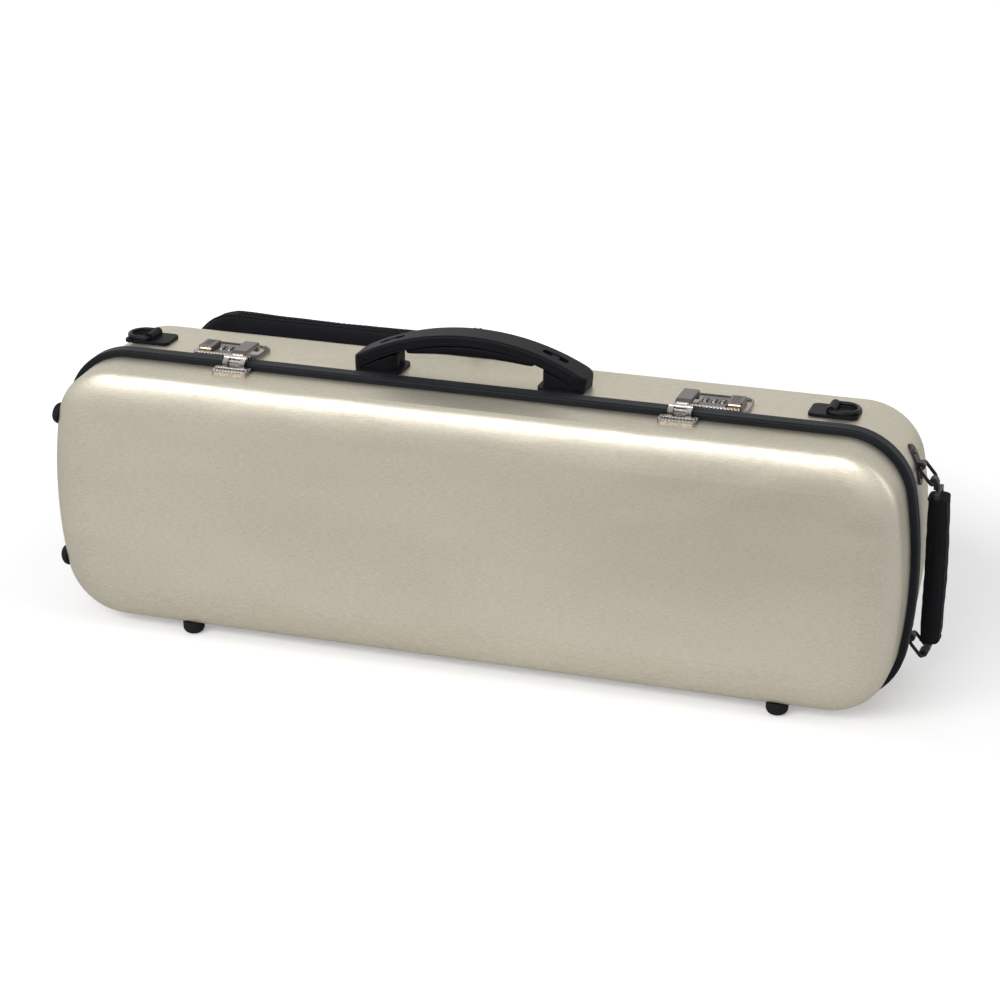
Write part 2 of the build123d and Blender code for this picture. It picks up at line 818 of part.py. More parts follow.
def make_keeper(name):
    middle = hasp_middle(name)
    riser_height = trim_rise + hasp_axis_rise
    with BuildPart() as keeper:
        with BuildSketch(on_plane(lid_top, middle, -keeper_middle, seat_gap / 3)):
            RectangleRounded(keeper_length, keeper_width, 3)
        extrude(amount=keeper_thickness)
        fillet(keeper.faces().sort_by(Axis.Z)[-1].edges(), radius=0.5)
        for sign in (-1, 1):
            start = middle + sign * (hasp_barrel_length / 2 + seat_gap + keeper_lug_length / 2) - keeper_lug_length / 2
            with BuildSketch(hasp_axis_plane(start)):
                Circle(hasp_barrel_radius)
                with BuildLine():
                    Polyline(
                        (0, -hasp_barrel_radius),
                        (0, hasp_barrel_radius),
                        (hasp_axis_distance - keeper_start - keeper_thickness, -hasp_axis_rise + 1),
                        (hasp_axis_distance - keeper_start - keeper_thickness, -riser_height + 1.2),
                        (hasp_axis_distance - keeper_start, -riser_height + 1.2),
                        (hasp_axis_distance - trim_width - seat_gap, -hasp_axis_rise + seat_gap),
                        (0, -hasp_barrel_radius),
                    )
                make_face()
            extrude(amount=keeper_lug_length)
        web_back = hasp_axis_distance - trim_width - seat_gap
        web_top = -hasp_barrel_radius
        with BuildSketch(hasp_axis_plane(middle - hasp_barrel_length / 2 - seat_gap - 1)):
            with Locations((web_back - keeper_web / 2, (web_top - riser_height) / 2)):
                Rectangle(keeper_web, riser_height + web_top)
        extrude(amount=hasp_barrel_length + 2 * seat_gap + 2)
        with BuildSketch(hasp_axis_plane(middle - keeper_length)):
            Circle(hasp_pin_radius + fit_gap)
        extrude(amount=2 * keeper_length, mode=Mode.SUBTRACT)
        with Locations(*[on_plane(lid_top, across, along).location for across, along in keeper_screws(name)]):
            Cylinder(screw_radius + fit_gap, 4 * keeper_thickness, mode=Mode.SUBTRACT)
    save(keeper, f"keeper_{name}")


def make_hasp_pins():
    pin_length = hasp_barrel_length + 2 * (seat_gap + keeper_lug_length)
    with BuildPart() as pins:
        for name in SIDES:
            with BuildSketch(hasp_axis_plane(hasp_middle(name) - pin_length / 2)):
                Circle(hasp_pin_radius)
            extrude(amount=pin_length)
    save(pins, "hasp_pins")


def make_hasp(name):
    """The bright hinge strap and the dark bar that it carries over the lock plate."""
    middle = hasp_middle(name)
    link_plane = hasp_axis_plane(middle - hasp_barrel_length / 2)
    link_end = hasp_axis_distance + trim_width + 3.0
    bar_base = hasp_link_thickness - hasp_link_drop
    with BuildPart() as link:
        with BuildSketch(link_plane):
            Circle(hasp_barrel_radius)
            with BuildLine():
                Polyline(
                    (0, bar_base),
                    (link_end, bar_base),
                    (link_end, -hasp_link_drop),
                    (0, -hasp_link_drop),
                    (0, bar_base),
                )
            make_face()
            Circle(hasp_pin_radius + fit_gap, mode=Mode.SUBTRACT)
        extrude(amount=hasp_barrel_length)
    save(link, f"hasp_link_{name}")
    bar_start = hasp_barrel_radius + 1.2
    tooth_end = hasp_length - hasp_tooth_length
    with BuildPart() as bar:
        with BuildSketch(hasp_axis_plane(middle - hasp_width / 2)):
            with BuildLine():
                Polyline(
                    (bar_start, bar_base),
                    (bar_start, bar_base + hasp_height / 2),
                    (bar_start + hasp_height, bar_base + hasp_height),
                    (hasp_length - 2, bar_base + 0.75 * hasp_height),
                    (hasp_length, bar_base + 0.3 * hasp_height),
                    (hasp_length, bar_base - hasp_tooth),
                    (tooth_end, bar_base - hasp_tooth),
                    (tooth_end, bar_base),
                    (bar_start, bar_base),
                )
            make_face()
        extrude(amount=hasp_width)
        fillet(bar.edges().filter_by(Axis.X).sort_by(Axis.Z)[-3:], radius=1.0)
        fillet(bar.faces().sort_by(Axis.X)[0].edges().sort_by(Axis.Z)[-3:], radius=0.8)
        fillet(bar.faces().sort_by(Axis.X)[-1].edges().sort_by(Axis.Z)[-3:], radius=0.8)
    save(bar, f"hasp_bar_{name}")


# Shoulder strap tabs, each with a D-shaped ring
tab_half = tab_spacing / 2
roll_height = tab_thickness + ring_wire + seat_gap


def make_tab(name):
    sign = SIDES[name]
    roll = tab_shift + sign * tab_half
    with BuildPart() as tab:
        with BuildSketch(on_plane(base_top, roll + sign * 2, tab_distance, seat_gap / 3)):
            RectangleRounded(tab_length, tab_width, tab_round)
        extrude(amount=tab_thickness - seat_gap / 3)
        fillet(tab.faces().sort_by(Axis.Z)[-1].edges(), radius=0.8)
        across = Plane(
            origin=base_top.from_local_coords((roll, tab_distance - roll_length / 2, roll_height)),
            x_dir=(1, 0, 0),
            z_dir=base_top.y_dir,
        )
        with BuildSketch(across):
            Circle(roll_radius)
            with Locations((-sign * roll_radius / 2, roll_height / 2)):
                Rectangle(roll_radius, roll_height)
        extrude(amount=roll_length)
        with BuildSketch(across):
            Circle(ring_wire + fit_gap)
        extrude(amount=roll_length, mode=Mode.SUBTRACT)
    save(tab, f"strap_tab_{name}")


def make_d_ring(name):
    sign = SIDES[name]
    roll = tab_shift + sign * tab_half
    plane = on_plane(base_top, roll, tab_distance, roll_height)
    half = ring_width / 2 - ring_wire
    straight = ring_reach - ring_wire - half
    turn = 3.2
    with BuildPart() as ring:
        with BuildLine(plane) as path:
            Line((0, 0), (0, half - turn))
            RadiusArc((0, half - turn), (sign * turn, half), sign * turn)
            Line((sign * turn, half), (sign * straight, half))
            ThreePointArc((sign * straight, half), (sign * (straight + half), 0), (sign * straight, -half))
            Line((sign * straight, -half), (sign * turn, -half))
            RadiusArc((sign * turn, -half), (0, turn - half), sign * turn)
            Line((0, turn - half), (0, 0))
        with BuildSketch(Plane(origin=path.wires()[0] @ 0, z_dir=path.wires()[0] % 0)):
            Circle(ring_wire)
        sweep(path=path.wires()[0])
    save(ring, f"d_ring_{name}")


# Side handle: brackets, loops, hooks, webbing and padded sleeve
def eye_origin(side):
    """Middle of a bracket's eye: side 1 is the upper bracket."""
    height = mid_height + bracket_shift + side * bracket_height
    return Vector(mid_x + eye_half_length, part_y + side_distance, height)


def loop_end(side):
    """Middle of the loop's outer bar as it hangs."""
    return eye_origin(side) + Vector(loop_run, 0, -loop_drop)


def make_bracket(side, label):
    middle = bracket_shift + side * bracket_height
    with BuildPart() as bracket:
        for outset, mode in ((bracket_thickness + seat_gap / 3, Mode.ADD), (seat_gap / 3, Mode.SUBTRACT)):
            inset = (side_distance - bracket_width / 2) * slope - outset
            extrude(
                case_outline(-side_distance + bracket_width / 2, inset), amount=-bracket_width, mode=mode
            )
        face_on = Plane(
            origin=(mid_x, part_y + side_distance, mid_height + middle), x_dir=(0, 0, 1), z_dir=(1, 0, 0)
        )
        with BuildSketch(face_on):
            SlotOverall(bracket_span, bracket_width)
        extrude(amount=case_length, mode=Mode.INTERSECT)
        across = Plane(
            origin=eye_origin(side) - Vector(0, eye_length / 2, 0), x_dir=(1, 0, 0), z_dir=(0, 1, 0)
        )
        with BuildSketch(across):
            Circle(eye_radius)
            with Locations((-eye_stand_off, 0)):
                Rectangle(2 * eye_stand_off, 2 * eye_radius)
        extrude(amount=eye_length)
        extrude(
            case_outline(-side_distance + bracket_width, (side_distance - bracket_width / 2) * slope - seat_gap / 3),
            amount=-2 * bracket_width,
            mode=Mode.SUBTRACT,
        )
        with BuildSketch(across):
            Circle(loop_wire + fit_gap)
        extrude(amount=eye_length, mode=Mode.SUBTRACT)
        for plane in bracket_screw_planes:
            with Locations(plane.location):
                Cylinder(screw_radius + fit_gap, 8 * bracket_thickness, mode=Mode.SUBTRACT)
    save(bracket, label)


def make_loop(side, label):
    turn = math.radians(-loop_rest_angle)
    plane = Plane(
        origin=eye_origin(side),
        x_dir=(math.cos(turn), 0, math.sin(turn)),
        z_dir=(math.sin(turn), 0, -math.cos(turn)),
    )
    half = loop_width / 2
    bend = 3.4
    with BuildPart() as loop:
        with BuildLine(plane) as path:
            corners = [(0, half), (loop_reach, half), (loop_reach, -half), (0, -half)]
            FilletPolyline(*corners, radius=bend, close=True)
        with BuildSketch(Plane(origin=path.wires()[0] @ 0, z_dir=path.wires()[0] % 0)):
            Circle(loop_wire)
        sweep(path=path.wires()[0])
    save(loop, label)


frame_height = hook_side_bar + webbing_slot + hook_end_bar
frame_start = hook_eye_radius + hook_neck
webbing_ply = webbing_thickness / 2
webbing_start = frame_start + frame_height - hook_end_bar - seat_gap


def make_hook(side, label):
    """Snap hook: side 1 hangs from the upper loop and side -1 holds the lower one."""
    bar = loop_end(side)
    reach = -side
    across = Plane(origin=bar + Vector(0, hook_width / 2, 0), x_dir=(1, 0, 0), z_dir=(0, -1, 0))
    gap = fit_gap if side > 0 else seat_gap
    with BuildPart() as hook:
        with BuildSketch(across):
            Circle(hook_eye_radius)
            with Locations((sleeve_offset / 2, reach * (frame_start + 1) / 2)):
                Rectangle(hook_plate, frame_start + 1)
            Circle(loop_wire + gap, mode=Mode.SUBTRACT)
        extrude(amount=hook_width)
        frame_middle = bar + Vector(sleeve_offset, 0, reach * (frame_start + frame_height / 2))
        with BuildSketch(Plane(origin=frame_middle, x_dir=(0, 1, 0), z_dir=(1, 0, 0))):
            RectangleRounded(webbing_width + 2 * hook_side_bar, frame_height, hook_side_bar)
            with Locations((0, reach * (hook_side_bar - hook_end_bar) / 2)):
                Rectangle(webbing_width + 2 * seat_gap, webbing_slot, mode=Mode.SUBTRACT)
        extrude(amount=hook_plate / 2, both=True)
    save(hook, label)


def strap_middle():
    """Middle of the side handle's webbing."""
    return (loop_end(1) + loop_end(-1)) / 2 + Vector(sleeve_offset, 0, 0)


def make_side_strap():
    """Webbing run from the upper hook to the lower one, turned round the end bars of both."""
    half = bracket_height - webbing_start
    hole = (hook_plate + 2 * seat_gap, hook_end_bar + 2 * seat_gap)
    eyelet = (hole[0] + 2 * webbing_ply, hole[1] + 2 * webbing_ply)
    across = Plane(origin=strap_middle() + Vector(0, webbing_width / 2, 0), x_dir=(1, 0, 0), z_dir=(0, -1, 0))
    with BuildPart() as strap:
        with BuildSketch(across):
            Rectangle(webbing_thickness, 2 * (half - hole[1]))
            with Locations((0, half - hole[1] / 2), (0, hole[1] / 2 - half)):
                RectangleRounded(*eyelet, webbing_ply)
                Rectangle(*hole, mode=Mode.SUBTRACT)
        extrude(amount=webbing_width)
    save(strap, "side_strap")


def make_sleeve():
    """Padded sleeve round the webbing, bowed a little away from the case."""
    middle = strap_middle()
    half = sleeve_length / 2
    thick = sleeve_thickness / 2
    across = Plane(origin=middle + Vector(0, sleeve_width / 2, 0), x_dir=(1, 0, 0), z_dir=(0, -1, 0))
    with BuildPart() as sleeve:
        with BuildSketch(across):
            with BuildLine():
                ThreePointArc((thick, -half), (thick + sleeve_bow, 0), (thick, half))
                Line((thick, half), (-thick, half))
                Line((-thick, half), (-thick, -half))
                Line((-thick, -half), (thick, -half))
            make_face()
        extrude(amount=sleeve_width)
        fillet(sleeve.edges().filter_by(Axis.Z) + sleeve.faces().sort_by(Axis.X)[-1].edges(), radius=sleeve_corner)
        with BuildSketch(Plane.XY.offset(middle.Z)):
            with Locations((middle.X, middle.Y)):
                Rectangle(webbing_thickness + 2 * seat_gap, webbing_width + 2 * seat_gap)
        extrude(amount=half + 1, both=True, mode=Mode.SUBTRACT)
        frame_end = bracket_height - frame_start - frame_height - webbing_thickness
        for side in (-1, 1):
            with BuildSketch(Plane.XY.offset(middle.Z + side * frame_end)):
                with Locations((middle.X, middle.Y)):
                    RectangleRounded(hook_plate + 3 * webbing_ply, webbing_width + 2 * hook_side_bar + 4 * seat_gap, 2)
            extrude(amount=side * bracket_height, mode=Mode.SUBTRACT)
    save(sleeve, "side_sleeve")


# Music pocket on the back, with its zip slider
def make_pocket():
    with BuildPart() as pocket:
        middle = pocket_left + pocket_length / 2
        with BuildSketch(parting.offset(-base_depth - seat_gap)):
            with Locations((middle, pocket_lift)):
                RectangleRounded(pocket_length, pocket_height, pocket_corner)
        extrude(amount=-pocket_depth)
        fillet(pocket.faces().sort_by(Axis.Y)[-1].edges(), radius=pocket_edge)
    save(pocket, "music_pocket")


def make_slider():
    with BuildPart() as slider:
        top = mid_height + pocket_lift + pocket_height / 2
        origin = (mid_x + zip_rest, part_y + base_depth + zip_distance, top + seat_gap)
        with BuildSketch(Plane(origin=origin, x_dir=(1, 0, 0), z_dir=(0, 0, 1))):
            RectangleRounded(slider_length, slider_width, 3)
        extrude(amount=slider_height)
        fillet(slider.faces().sort_by(Axis.Z)[-1].edges(), radius=1.2)
    save(slider, "pocket_slider")


# Base lining: a foam block with the instrument's recess and two compartments
lining_gap = shell_wall + seat_gap
recess_depth = base_depth - recess_floor
compartment_top = case_height / 2 - lining_gap - compartment_top_edge
compartment_middle = compartment_top - compartment_height / 2
panel_length = compartment_length - 2 * seat_gap
panel_height = compartment_height - 2 * seat_gap
bin_left = -case_length / 2 + lining_gap + 2 * compartment_edge + 3


def make_base_lining():
    with BuildPart() as lining:
        depth = base_depth - lining_gap
        rounded_form(-1, depth, base_round_depth, base_round_reach, lining_gap)
        with BuildSketch(parting):
            Rectangle(2 * case_length, 2 * case_height)
        extrude(amount=-lining_front, mode=Mode.SUBTRACT)
        front = parting.offset(-lining_front)
        with BuildSketch(front):
            with Locations((lower_bout_place, 0)):
                Circle(lower_bout_radius)
            with Locations((upper_bout_place, 0)):
                Circle(upper_bout_radius)
            with Locations(((lower_bout_place + upper_bout_place) / 2, 0)):
                Rectangle(lower_bout_place - upper_bout_place, waist_width)
        extrude(amount=-(recess_depth - lining_front), mode=Mode.SUBTRACT)
        neck_start = upper_bout_place
        with BuildSketch(front):
            with Locations(((neck_start + neck_end) / 2, 0)):
                Rectangle(neck_start - neck_end, neck_width)
        extrude(amount=-(neck_depth - lining_front), mode=Mode.SUBTRACT)
        with BuildSketch(front):
            with Locations((compartment_left + compartment_length / 2, compartment_middle)):
                Rectangle(compartment_length, compartment_height)
        extrude(amount=-panel_thickness - seat_gap, mode=Mode.SUBTRACT)
        with BuildSketch(front):
            with Locations((compartment_left + compartment_length / 2, compartment_middle)):
                Rectangle(compartment_length - 2 * compartment_edge, compartment_height - 2 * compartment_edge)
        extrude(amount=-(compartment_depth - lining_front), mode=Mode.SUBTRACT)
        with BuildSketch(front):
            with Locations((bin_left + end_bin_length / 2, 0)):
                RectangleRounded(end_bin_length, end_bin_height, 12)
        extrude(amount=-(compartment_depth - lining_front), mode=Mode.SUBTRACT)
        cut_dial_wells(4 * shell_wall)
        with BuildSketch(panel_axis_plane(-panel_length / 2 - 3)):
            Circle(panel_pin_radius + fit_gap)
        extrude(amount=panel_length + 6, mode=Mode.SUBTRACT)
    save(lining, "base_lining")


def panel_axis_plane(start):
    """Plane across the compartment panel's pin, near its upper edge."""
    middle = compartment_left + compartment_length / 2
    height = mid_height + compartment_top - seat_gap - panel_thickness / 2
    origin = (mid_x + middle + start, part_y + lining_front + panel_thickness / 2, height)
    return Plane(origin=origin, x_dir=(0, 1, 0), z_dir=(1, 0, 0))


def make_panel():
    with BuildPart() as panel:
        middle = compartment_left + compartment_length / 2
        with BuildSketch(parting.offset(-lining_front)):
            with Locations((middle, compartment_middle)):
                Rectangle(panel_length, panel_height)
        extrude(amount=-panel_thickness)
        top = panel.faces().sort_by(Axis.Z)[-1].edges().filter_by(Axis.X)
        fillet(top, radius=panel_thickness / 2 - 0.05)
        with BuildSketch(panel_axis_plane(-panel_length / 2 - 1)):
            Circle(panel_pin_radius + fit_gap)
        extrude(amount=panel_length + 2, mode=Mode.SUBTRACT)
    save(panel, "compartment_panel")
    with BuildPart() as pin:
        with BuildSketch(panel_axis_plane(-panel_length / 2 - 2.5)):
            Circle(panel_pin_radius)
        extrude(amount=panel_length + 5)
    save(pin, "compartment_pin")


def make_neck_strap():
    with BuildPart() as strap:
        with BuildSketch(parting.offset(-lining_front + seat_gap)):
            with Locations((neck_strap_place, 0)):
                RectangleRounded(neck_strap_width, neck_strap_length, 6)
        extrude(amount=neck_strap_thickness)
    save(strap, "neck_strap")


# Lid lining with bow clips and tip loops
lid_lining_back = lid_depth - lining_gap


def make_lid_lining():
    with BuildPart() as lining:
        rounded_form(1, lid_lining_back, lid_round_depth, lid_round_reach, lining_gap)
        inner = lining_gap + lid_lining_edge
        front = lid_lining_back - lid_lining_thickness
        rounded_form(1, front, lid_round_depth, lid_round_reach, inner, Mode.SUBTRACT)
        extrude(case_outline(0, 0), amount=lining_front, mode=Mode.SUBTRACT)
    save(lining, "lid_lining")


bow_places = {"upper": bow_spacing / 2, "lower": -bow_spacing / 2}
lid_floor = lid_lining_back - lid_lining_thickness


def make_bow_clip(name):
    """A turning bar on a boss, across the bow's frog."""
    height = bow_places[name]
    with BuildPart() as clip:
        with BuildSketch(parting.offset(lid_floor - seat_gap)):
            with Locations((clip_place, height)):
                Circle(clip_boss_radius)
        extrude(amount=-clip_boss_height)
        with BuildSketch(parting.offset(lid_floor - seat_gap - clip_boss_height)):
            with Locations((clip_place, height)):
                SlotOverall(clip_length, clip_width, rotation=90)
        extrude(amount=-clip_thickness)
        fillet(clip.faces().sort_by(Axis.Y)[-1].edges(), radius=1.5)
    save(clip, f"bow_clip_{name}")


def make_tip_loops():
    with BuildPart() as loops:
        for height in bow_places.values():
            across = Plane(
                origin=parting.from_local_coords((tip_loop_place - tip_loop_length / 2, height, lid_floor - seat_gap)),
                x_dir=(0, 0, 1),
                z_dir=(1, 0, 0),
            )
            with BuildSketch(across):
                with Locations((0, -tip_loop_height / 2)):
                    RectangleRounded(tip_loop_width, tip_loop_height, 5)
                    inner = (tip_loop_width - 2 * tip_loop_wall, tip_loop_height - 2 * tip_loop_wall)
                    RectangleRounded(*inner, 4, mode=Mode.SUBTRACT)
            extrude(amount=tip_loop_length)
    save(loops, "bow_tip_loops")


def main():
    os.makedirs("parts", exist_ok=True)
    make_base_shell()
    make_lid_shell()
    make_trim(-1, "base_trim")
    make_trim(1, "lid_trim")
    make_seal()
    make_hinge_leaves(-1, base_under, "hinge_leaves_base")
    make_hinge_leaves(1, lid_under, "hinge_leaves_lid")
    make_hinge_pins()
    plate_seats = [(plane, plate_thickness) for plane in top_screw_planes]
    leaf_seats = [(plane, leaf_thickness) for plane in base_hinge_planes]
    bracket_proud = bracket_thickness + seat_gap / 3 + bracket_width * slope
    bracket_seats = [(plane, bracket_proud) for plane in bracket_screw_planes]
    make_screws(plate_seats + leaf_seats + bracket_seats, "base_screws")
    keeper_seats = [(plane, keeper_thickness + seat_gap / 3) for plane in keeper_screw_planes]
    make_screws(keeper_seats + [(plane, leaf_thickness) for plane in lid_hinge_planes], "lid_screws")
    make_feet(1, base_foot_distance, "base_feet")
    make_feet(-1, lid_foot_distance, "lid_feet")
    make_mount(-1, "handle_mount_left")
    make_mount(1, "handle_mount_right")
    make_posts()
    make_handle_strap()
    make_handle_pad()
    for name in SIDES:
        make_lock_plate(name)
        make_lock_housing(name)
        for index in range(dial_count):
            make_dial(name, index)
        make_button(name)
        make_keeper(name)
        make_hasp(name)
        make_tab(name)
        make_d_ring(name)
    make_axles()
    make_hasp_pins()
    for name, side in (("upper", 1), ("lower", -1)):
        make_bracket(side, f"side_bracket_{name}")
        make_loop(side, f"side_loop_{name}")
        make_hook(side, f"side_hook_{name}")
    make_side_strap()
    make_sleeve()
    make_pocket()
    make_slider()
    make_base_lining()
    make_panel()
    make_neck_strap()
    make_lid_lining()
    for name in bow_places:
        make_bow_clip(name)
    make_tip_loops()


if __name__ == "__main__":
    main()
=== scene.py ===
import json
import math
import bpy
import bmesh
from mathutils import Matrix, Vector, noise
from mathutils.bvhtree import BVHTree


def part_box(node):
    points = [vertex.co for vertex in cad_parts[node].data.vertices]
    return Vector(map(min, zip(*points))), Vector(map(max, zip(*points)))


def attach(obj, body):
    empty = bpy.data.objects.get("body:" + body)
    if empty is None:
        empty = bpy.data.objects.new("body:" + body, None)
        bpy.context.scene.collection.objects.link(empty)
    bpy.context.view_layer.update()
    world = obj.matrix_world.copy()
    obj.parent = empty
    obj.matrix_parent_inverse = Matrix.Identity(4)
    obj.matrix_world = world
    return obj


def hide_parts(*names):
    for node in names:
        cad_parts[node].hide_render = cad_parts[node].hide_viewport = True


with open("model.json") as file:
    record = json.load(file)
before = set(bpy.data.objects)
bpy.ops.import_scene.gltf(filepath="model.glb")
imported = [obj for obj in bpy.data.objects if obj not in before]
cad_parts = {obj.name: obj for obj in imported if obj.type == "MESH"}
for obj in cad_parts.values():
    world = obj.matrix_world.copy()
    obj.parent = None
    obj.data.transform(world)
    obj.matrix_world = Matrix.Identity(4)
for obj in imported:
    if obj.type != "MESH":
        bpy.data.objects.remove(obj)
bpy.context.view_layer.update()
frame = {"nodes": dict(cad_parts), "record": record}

# Real sizes in metres
case_length = 0.830
case_height = 0.255
corner_radius = 0.060
end_radius = 0.450
draft_angle = math.radians(1.5)
lining_gap = 0.0033
lining_front = 0.009

low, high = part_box("base_shell")
mid_x = (low.x + high.x) / 2
part_y = low.y
mid_z = (low.z + high.z) / 2
shell_top = high.z
tilt = Vector((0, math.sin(draft_angle), math.cos(draft_angle)))
corner_z = case_height / 2 - corner_radius
bow_centre = case_length / 2 - end_radius
corner_x = bow_centre + math.sqrt((end_radius - corner_radius) ** 2 - corner_z**2)
bow_angle = math.atan2(corner_z, corner_x - bow_centre)


def spot(x, y, z):
    """A place in the case: x from its middle, y behind the parting plane, z above the middle height."""
    return Vector((mid_x + x, part_y + y, mid_z + z))


def edge_distance(x, z):
    """How far inside the case's outline a place is."""
    across, up = abs(x), abs(z)
    if across <= corner_x:
        return case_height / 2 - up
    if math.atan2(up, across - bow_centre) < bow_angle:
        return end_radius - math.hypot(across - bow_centre, up)
    return corner_radius - math.hypot(across - corner_x, up - corner_z)


def half_length(z, inset):
    """Half the length of the outline at a height, drawn in by an inset."""
    up = abs(z)
    radius = end_radius - inset
    if up <= math.sin(bow_angle) * radius:
        return bow_centre + math.sqrt(radius**2 - up**2)
    return corner_x + math.sqrt(max((corner_radius - inset) ** 2 - (up - corner_z) ** 2, 0))


# Materials
def tree_of(name):
    material = bpy.data.materials.new(name)
    material.use_nodes = True
    tree = material.node_tree
    return material, tree, tree.nodes["Principled BSDF"]


def add_node(tree, kind, links=(), **values):
    made = tree.nodes.new(kind)
    for key, value in values.items():
        if key in made.inputs:
            made.inputs[key].default_value = value
        else:
            setattr(made, key, value)
    for source, target in links:
        tree.links.new(source, made.inputs[target])
    return made


def coords(tree, stretch=(1, 1, 1)):
    texture = add_node(tree, "ShaderNodeTexCoord")
    mapping = add_node(tree, "ShaderNodeMapping", [(texture.outputs["Object"], "Vector")])
    mapping.inputs["Scale"].default_value = stretch
    return mapping.outputs["Vector"]


def noise_of(tree, scale, stretch=(1, 1, 1), detail=4.0, rough=0.6):
    made = add_node(tree, "ShaderNodeTexNoise", [(coords(tree, stretch), "Vector")])
    made.inputs["Scale"].default_value = scale
    made.inputs["Detail"].default_value = detail
    made.inputs["Roughness"].default_value = rough
    return made.outputs["Fac"]


def ramp(tree, source, first, last, dark, light):
    made = add_node(tree, "ShaderNodeValToRGB", [(source, "Fac")])
    made.color_ramp.elements[0].position = first
    made.color_ramp.elements[1].position = last
    made.color_ramp.elements[0].color = (*dark, 1)
    made.color_ramp.elements[1].color = (*light, 1)
    return made.outputs["Color"]


def ranged(tree, source, low_value, high_value, first=0.3, last=0.7):
    made = add_node(tree, "ShaderNodeMapRange", [(source, "Value")])
    made.inputs["From Min"].default_value = first
    made.inputs["From Max"].default_value = last
    made.inputs["To Min"].default_value = low_value
    made.inputs["To Max"].default_value = high_value
    return made.outputs["Result"]


def math_of(tree, operation, first, second):
    made = add_node(tree, "ShaderNodeMath", operation=operation)
    for index, value in enumerate((first, second)):
        if isinstance(value, (int, float)):
            made.inputs[index].default_value = value
        else:
            tree.links.new(value, made.inputs[index])
    return made.outputs["Value"]


def shared_out(tree, first, first_share, second, second_share):
    """Two values added by their shares."""
    parts = math_of(tree, "MULTIPLY", first, first_share), math_of(tree, "MULTIPLY", second, second_share)
    return math_of(tree, "ADD", *parts)


def bumped(tree, shader, height, strength, distance):
    made = add_node(tree, "ShaderNodeBump", [(height, "Height")])
    made.inputs["Strength"].default_value = strength
    made.inputs["Distance"].default_value = distance
    tree.links.new(made.outputs["Normal"], shader.inputs["Normal"])
    return made


def mixed(tree, factor, first, second):
    made = add_node(tree, "ShaderNodeMix", data_type="RGBA")
    tree.links.new(factor, made.inputs["Factor"])
    for socket, value in ((made.inputs[6], first), (made.inputs[7], second)):
        if isinstance(value, tuple):
            socket.default_value = (*value, 1)
        else:
            tree.links.new(value, socket)
    return made.outputs[2]


def brushed_shell():
    """Thin metallic film: short fine strokes along the case, with slow waves in how it reflects."""
    material, tree, shader = tree_of("shell_brushed")
    strokes = noise_of(tree, 150, (1, 9, 9), 5, 0.7)
    fine = noise_of(tree, 420, (1, 6, 6), 2, 0.6)
    broad = noise_of(tree, 4.5, (0.6, 1.4, 1.4), 3, 0.5)
    both = shared_out(tree, strokes, 0.6, fine, 0.4)
    tinted = shared_out(tree, both, 0.8, broad, 0.2)
    dark, light = (0.41, 0.378, 0.305), (0.63, 0.588, 0.492)
    rough, smooth = 0.48, 0.34
    tree.links.new(ramp(tree, tinted, 0.36, 0.64, dark, light), shader.inputs["Base Color"])
    tree.links.new(ranged(tree, both, rough, smooth, 0.35, 0.65), shader.inputs["Roughness"])
    shader.inputs["Metallic"].default_value = 0.85
    shader.inputs["Specular Tint"].default_value = (1, 0.97, 0.9, 1)
    wave_height = 46.0
    waves = math_of(tree, "MULTIPLY", noise_of(tree, 8, (0.6, 1, 1.5), 2, 0.4), wave_height)
    bumped(tree, shader, math_of(tree, "ADD", both, waves), 0.26, 0.0005)
    return material


def grained(
    name, dark, light, scale, rough, bump,
    stretch=(1, 1, 1), distance=0.0002, metallic=0.0, wear=None, shine=0.5,
):
    """A moulded, painted or plated surface with fine grain, and lighter worn edges where wear is a colour."""
    material, tree, shader = tree_of(name)
    speckle = noise_of(tree, scale, stretch, 6, 0.65)
    patch = noise_of(tree, 22, (1, 1, 1), 3, 0.55)
    blend = shared_out(tree, speckle, 0.55, patch, 0.45)
    colour = ramp(tree, blend, 0.35, 0.65, dark, light)
    if wear:
        geometry = add_node(tree, "ShaderNodeNewGeometry")
        edge = ranged(tree, geometry.outputs["Pointiness"], 0.0, 0.85, 0.52, 0.62)
        colour = mixed(tree, math_of(tree, "MULTIPLY", edge, speckle), colour, wear)
    tree.links.new(colour, shader.inputs["Base Color"])
    tree.links.new(ranged(tree, blend, rough[0], rough[1]), shader.inputs["Roughness"])
    shader.inputs["Metallic"].default_value = metallic
    shader.inputs["Specular IOR Level"].default_value = shine
    bumped(tree, shader, speckle, bump, distance)
    return material


